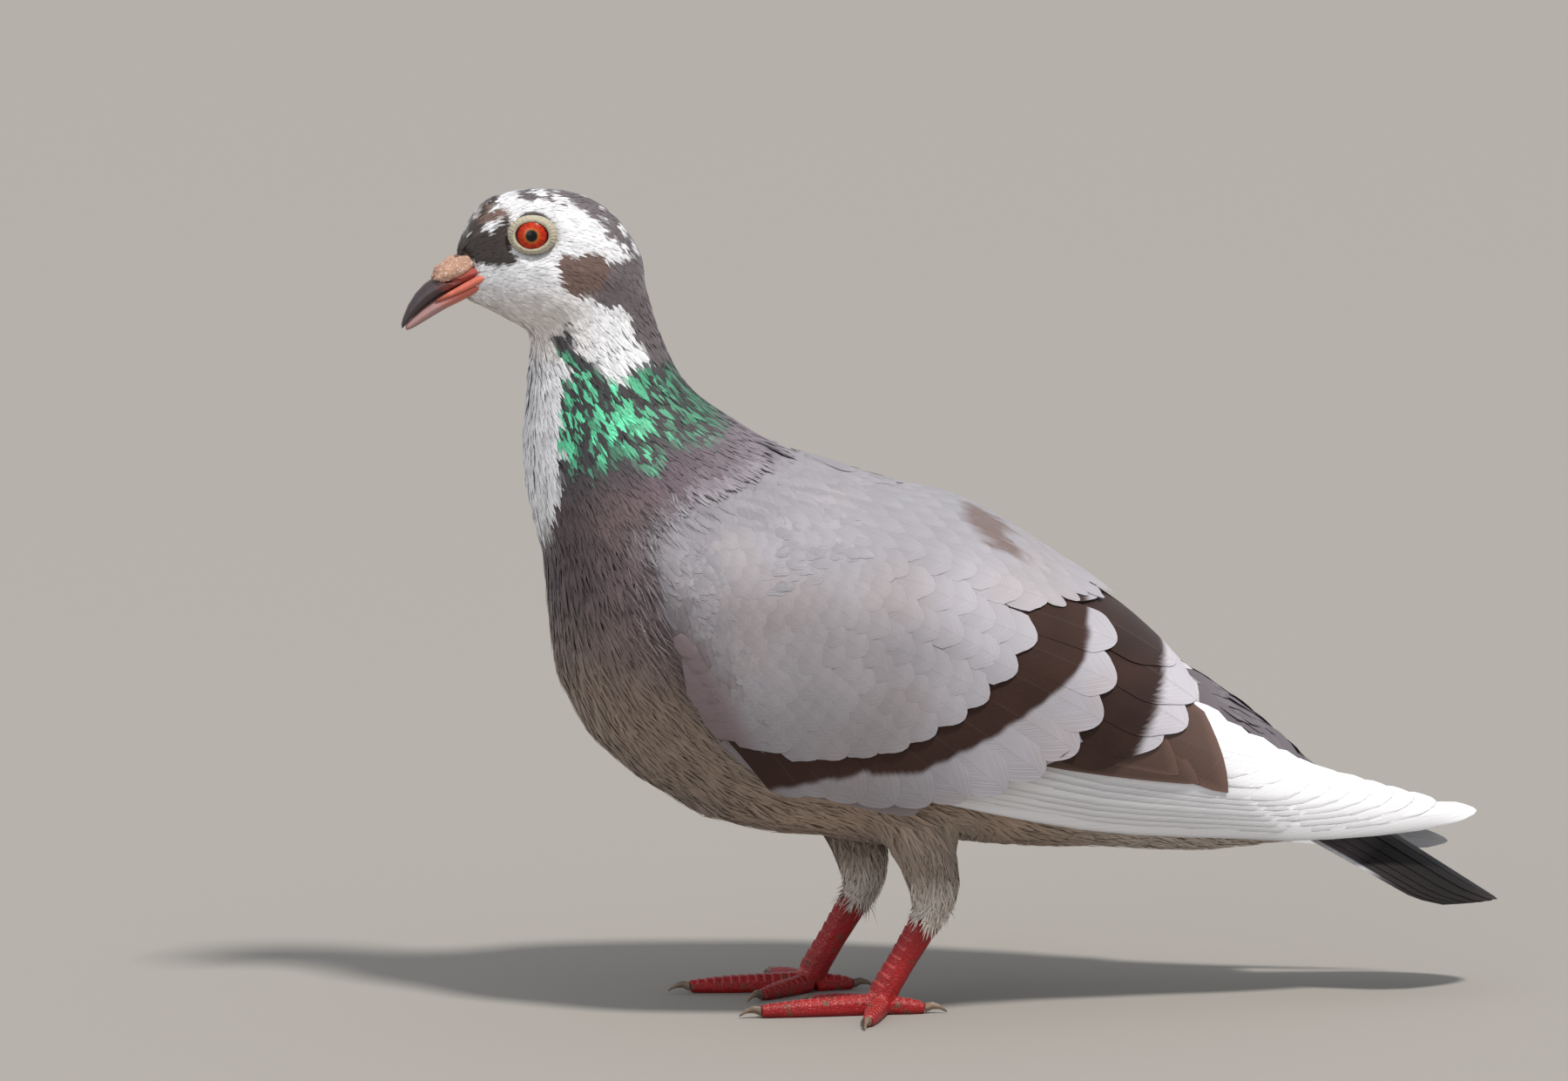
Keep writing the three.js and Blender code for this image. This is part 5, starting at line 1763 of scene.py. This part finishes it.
def bill_finish(name, tip_colour, base_colour):
    """Horn that changes colour from the bill's tip to its base."""
    finish = Finish(name, Roughness=0.42, Specular_IOR_Level=0.45)
    grain = finish.grain(1.4)
    forward = maths(finish.tree, "ADD", parts_of(finish.tree, finish.place())[0],
                         finish.ranged(grain["Fine"], 0.3, 0.7, -0.0015, 0.0015))
    base_x, tip_x = (float(to_scene((x, 0, 0))[0]) for x in (-105, -113))
    horn = finish.mixed("MIX", finish.ranged(forward, tip_x, base_x), tip_colour, base_colour)
    finish.link(horn)
    finish.bump(grain["Fine"], 0.05)
    return finish.material


def soft_finish(name, colour_key, size, relief, roughness, variation=0.15, powder=0.0):
    """Skin or horn of one colour that varies, with a grain of the given size and relief in millimetres."""
    tone = paint()[colour_key]
    finish = Finish(name, Roughness=roughness, Specular_IOR_Level=0.4)
    grain = finish.grain(size)
    share = finish.ranged(grain["Coarse"], 0.35, 0.65)
    base = finish.mixed("MIX", share, tone * (1 - variation), tone * (1 + variation * 0.6))
    if powder:
        share = finish.ranged(grain["Fine"], 0.5, 0.75, 0, powder)
        base = finish.mixed("MIX", share, base, (0.82, 0.74, 0.68))
    finish.link(base)
    finish.bump(grain["Fine"], relief)
    return finish.material


def tube(name, path, radii, finish):
    """A closed round tube through the path."""
    sides = 10
    path, radii = np.array(path, float), np.array(radii, float)
    heading = unit(np.gradient(path, axis=0))
    first = unit(np.cross(heading, (0, 0, 1)))
    second = np.cross(heading, first)
    angle = np.linspace(0, 2 * math.pi, sides, endpoint=False)
    ring = first[:, None] * np.cos(angle)[None, :, None] + second[:, None] * np.sin(angle)[None, :, None]
    points = (path[:, None] + ring * radii[:, None, None]).reshape(-1, 3)
    faces = []
    for i in range(len(path) - 1):
        for k in range(sides):
            a, b = i * sides + k, i * sides + (k + 1) % sides
            faces += [(a, a + sides, b + sides), (a, b + sides, b)]
    points = np.concatenate([points, path[:1], path[-1:]])
    last = (len(path) - 1) * sides
    for k in range(sides):
        faces.append((len(points) - 2, k, (k + 1) % sides))
        faces.append((len(points) - 1, last + (k + 1) % sides, last + k))
    return new_piece(name, points, faces, finish)


NOSTRIL = (-108.2, 188.6)  # x, z of the slit's middle
# The soft rim of the gape, from the bill's side to its corner: x, distance to the side, z, radius.
GAPE = [(-112, 2.5, 183.4, 0.3), (-108.6, 3.4, 185.1, 0.7), (-105, 4.4, 187, 1.0), (-101.8, 5.2, 188.8, 1.05),
        (-98.6, 5.6, 190.3, 0.85), (-96.4, 5.3, 191, 0.4)]


class PIGEON_OT_bill(bpy.types.Operator):
    """Upper and lower bill, the cere over the nostrils and the soft rim of the gape"""

    bl_idname = "pigeon.bill"
    bl_label = "Bill"

    def execute(self, context):
        tone = paint()
        horn = bill_finish("Upper bill horn", tone["bill"], tone["gape"] * (0.5, 0.34, 0.36))
        upper = shell("bill_upper", ["upper_bill"], 0.2, 0.25, 3, horn)
        points, normals = read_points(upper)
        slit, high = points[:, 0] - NOSTRIL[0], points[:, 2] - NOSTRIL[1]
        dent = np.hypot((slit + 0.9 * high) / 3.0, high)
        write_points(upper, points - normals * (0.75 * step(1, 0.35, dent))[:, None])
        dress(upper, "upper_bill", "upper_bill")
        soft = bill_finish("Lower bill skin", (0.36, 0.2, 0.19), tone["gape"] * 0.85)
        lower = shell("bill_lower", ["lower_bill"], 0.3, 0.25, 3, soft)
        dress(lower, "lower_bill", "lower_bill")
        powdered = soft_finish("Cere skin", "cere", 0.55, 0.22, 0.8, powder=0.6)
        cere = shell("cere_lobes", ["cere"], 0.1, 0.25, 4, powdered)
        points, normals = read_points(cere)
        warts = 0.3 * (noise(points, 1.0, 50) - 0.5) + 0.18 * (noise(points, 0.5, 51) - 0.5)
        write_points(cere, points + normals * warts[:, None])
        dress(cere, "cere", "cere")
        rim = soft_finish("Gape rim", "gape", 0.8, 0.05, 0.45)
        for name, side in SIDES.items():
            path = [(x, side * y, z) for x, y, z, _ in GAPE]
            piece = tube(f"gape_{name}", path, [row[3] for row in GAPE], rim)
            dress(piece, "lower_bill")
        return {"FINISHED"}


# ---- legs and claws

# Middle of each foot's joint over the floor; for each toe its length and its heading outwards from straight ahead.
FEET = {"left": (-0.5, -19.0), "right": (-12.5, 19.0)}
TOES = {3: (31, 3), 4: (21, 72), 2: (20, -42), 1: (11, 174)}
TOE_MIDDLE, HOCK, JOINT = 2.0, (13.6, 27.0), (0.0, 4.6)  # height of a toe's middle; x, z of the shank's two ends
SHANK_PLATE, TOE_PLATE = 2.7, 2.15  # length of one scale


def leg_finish():
    tone = paint()
    finish = Finish("Leg skin", Roughness=0.48, Specular_IOR_Level=0.45)
    grain = finish.grain(1.1)
    base = finish.mixed("MULTIPLY", 0.8, finish.plumage().outputs["Color"],
                        finish.mixed("MIX", grain["Cells"], (0.7, 0.62, 0.62), (1, 1, 1)))
    dirt = finish.grain(3.2)
    muddy = finish.ranged(dirt["Fine"], 0.6, 0.68, 0, 0.85)
    finish.link(finish.mixed("MIX", muddy, base, tone["mud"]))
    finish.bump(grain["Cells"], 0.07)
    return finish.material


class PIGEON_OT_legs(bpy.types.Operator):
    """Scaled skin of shanks and toes, and the claws"""

    bl_idname = "pigeon.legs"
    bl_label = "Legs"

    def execute(self, context):
        finish = leg_finish()
        horn = soft_finish("Claw horn", "claw", 0.8, 0.04, 0.4, 0.3)
        for name, side in SIDES.items():
            nodes = [f"shank_{name}"] + [f"toe_{name}_{n}" for n in TOES]
            piece = shell(f"leg_{name}", nodes, 0.22, sizes().leg_voxel, 5, finish)
            self.scale(piece, name, side)
            dress(piece, "leg_skin", *nodes)
            claws = [f"claw_{name}_{n}" for n in TOES]
            dress(shell(f"claws_{name}", claws, 0.05, 0.2, 2, horn), "claw", *claws)
        return {"FINISHED"}

    def scale(self, piece, name, side):
        """Raises overlapping plates on the front of the shank and the top of each toe, and paints their edges pale."""
        tone = paint()
        points, normals = read_points(piece)
        foot = np.array([*FEET[name], 0.0])
        nearest, along, front = np.full(len(points), 1e9), np.zeros(len(points)), np.zeros(len(points))
        bones = [((JOINT[0], 0, JOINT[1]), (HOCK[0], 0, HOCK[1]), (-0.86, 0, 0.52), SHANK_PLATE)]
        for length_of, heading in TOES.values():
            angle = math.radians(180 - side * heading)
            ahead = np.array([math.cos(angle), math.sin(angle), 0])
            first, last = (ahead * reach + (0, 0, TOE_MIDDLE) for reach in (1.5, length_of))
            bones.append((first, last, (0, 0, 1), TOE_PLATE))
        for start, end, up, period in bones:
            off = points - foot - start
            bone = np.subtract(end, start)
            share = np.clip(off @ bone / (bone @ bone), 0, 1)
            radial = off - share[:, None] * bone
            distance = norms(radial)
            closer = distance < nearest
            nearest = np.where(closer, distance, nearest)
            along = np.where(closer, share * np.linalg.norm(bone) / period, along)
            front = np.where(closer, (unit(radial) @ up), front)
        frac = along % 1
        plate = step(0.25, 0.6, front)
        ridge = (frac**0.8) * step(1.0, 0.9, frac)
        points = points + normals * (plate * (0.34 * ridge - 0.08))[:, None]
        points[:, 2] = np.maximum(points[:, 2], 0)
        write_points(piece, points)
        groove = np.maximum(step(0.86, 0.97, frac), step(0.1, 0.0, frac))
        colours = mottled(tone["leg"], points, 0.85, 0.3, 4, 60)
        colours = blend(colours, np.array(linear(214, 120, 110)), plate * groove * 0.4)
        set_colours(piece, colours)


# ---- stage

# The camera: degrees round and above the bird, metres away, lens in millimetres and the point it looks at.
VIEW = {"azimuth": -9.0, "elevation": 8.0, "distance": 4.44, "lens": 400.0, "aim": (-22.5, 0.0, 119.7)}


FLOOR_SIZE = 24.0
SKY = {"Color": (0.88, 0.93, 1.0, 1), "Strength": 0.62}


class PIGEON_OT_stage(bpy.types.Operator):
    """Pale floor, soft light and the camera"""

    bl_idname = "pigeon.stage"
    bl_label = "Stage"

    def execute(self, context):
        scene = context.scene
        tone = paint()
        bpy.ops.object.select_all(action="DESELECT")
        bpy.ops.mesh.primitive_plane_add(size=FLOOR_SIZE, location=(0, 0, 0))
        floor = context.object
        floor.name = "floor"
        finish = Finish("Floor", Base_Color=(*tone["floor"], 1), Roughness=0.9, Specular_IOR_Level=0.1)
        floor.data.materials.append(finish.material)
        world = bpy.data.worlds.new("Studio")
        scene.world = world
        world.use_nodes = True
        for socket, value in SKY.items():
            world.node_tree.nodes["Background"].inputs[socket].default_value = value
        self.lamp("Key", "SUN", (0.35, -0.62, 1.35), energy=3.1, angle=math.radians(7), color=(1.0, 0.97, 0.92))
        self.lamp("Fill", "AREA", (-2.2, -2.6, 1.2), energy=26, size=2.4, color=(0.95, 0.97, 1.0))
        camera = bpy.data.cameras.new("Camera")
        camera.lens = VIEW["lens"]
        camera.sensor_width = 36
        camera.clip_end = 60
        eye = new_object("Camera", camera)
        azimuth, elevation = math.radians(VIEW["azimuth"]), math.radians(VIEW["elevation"])
        flat = math.cos(elevation)
        away = Vector((math.sin(azimuth) * flat, -math.cos(azimuth) * flat, math.sin(elevation)))
        eye.location = Vector(to_scene(VIEW["aim"])) + away * VIEW["distance"]
        eye.rotation_euler = away.to_track_quat("Z", "Y").to_euler()
        scene.camera = eye
        scene.view_settings.view_transform = "Standard"
        return {"FINISHED"}

    def lamp(self, name, kind, place, **settings):
        light = bpy.data.lights.new(name, kind)
        for key, value in settings.items():
            setattr(light, key, value)
        lamp = new_object(name, light)
        lamp.location = place
        lamp.rotation_euler = (Vector(place) - Vector((0, 0, 0.1))).to_track_quat("Z", "Y").to_euler()


# ---- panel and registration

STEPS = [PIGEON_OT_skin, PIGEON_OT_head_coat, PIGEON_OT_neck_coat, PIGEON_OT_body_coat, PIGEON_OT_wings, PIGEON_OT_back,
         PIGEON_OT_shoulders, PIGEON_OT_tail, PIGEON_OT_eyes, PIGEON_OT_bill, PIGEON_OT_legs, PIGEON_OT_stage]


class PIGEON_PT_panel(bpy.types.Panel):
    bl_label = "Pigeon"
    bl_idname = "PIGEON_PT_panel"
    bl_space_type = "VIEW_3D"
    bl_region_type = "UI"
    bl_category = "Pigeon"

    def draw(self, context):
        for group in (context.scene.pigeon_sizes, context.scene.pigeon_colours):
            box = self.layout.box()
            for key in group.__annotations__:
                box.prop(group, key)
        for operator in STEPS:
            self.layout.operator(operator.bl_idname)


CLASSES = [PigeonColours, PigeonSizes, *STEPS, PIGEON_PT_panel]


def register():
    for item in CLASSES:
        bpy.utils.register_class(item)
    bpy.types.Scene.pigeon_colours = PointerProperty(type=PigeonColours)
    bpy.types.Scene.pigeon_sizes = PointerProperty(type=PigeonSizes)


def unregister():
    del bpy.types.Scene.pigeon_sizes
    del bpy.types.Scene.pigeon_colours
    for item in reversed(CLASSES):
        bpy.utils.unregister_class(item)


def main():
    register()
    for operator in STEPS:
        family, verb = operator.bl_idname.split(".")
        getattr(getattr(bpy.ops, family), verb)()
    bpy.context.view_layer.update()


if __name__ == "__main__":
    main()
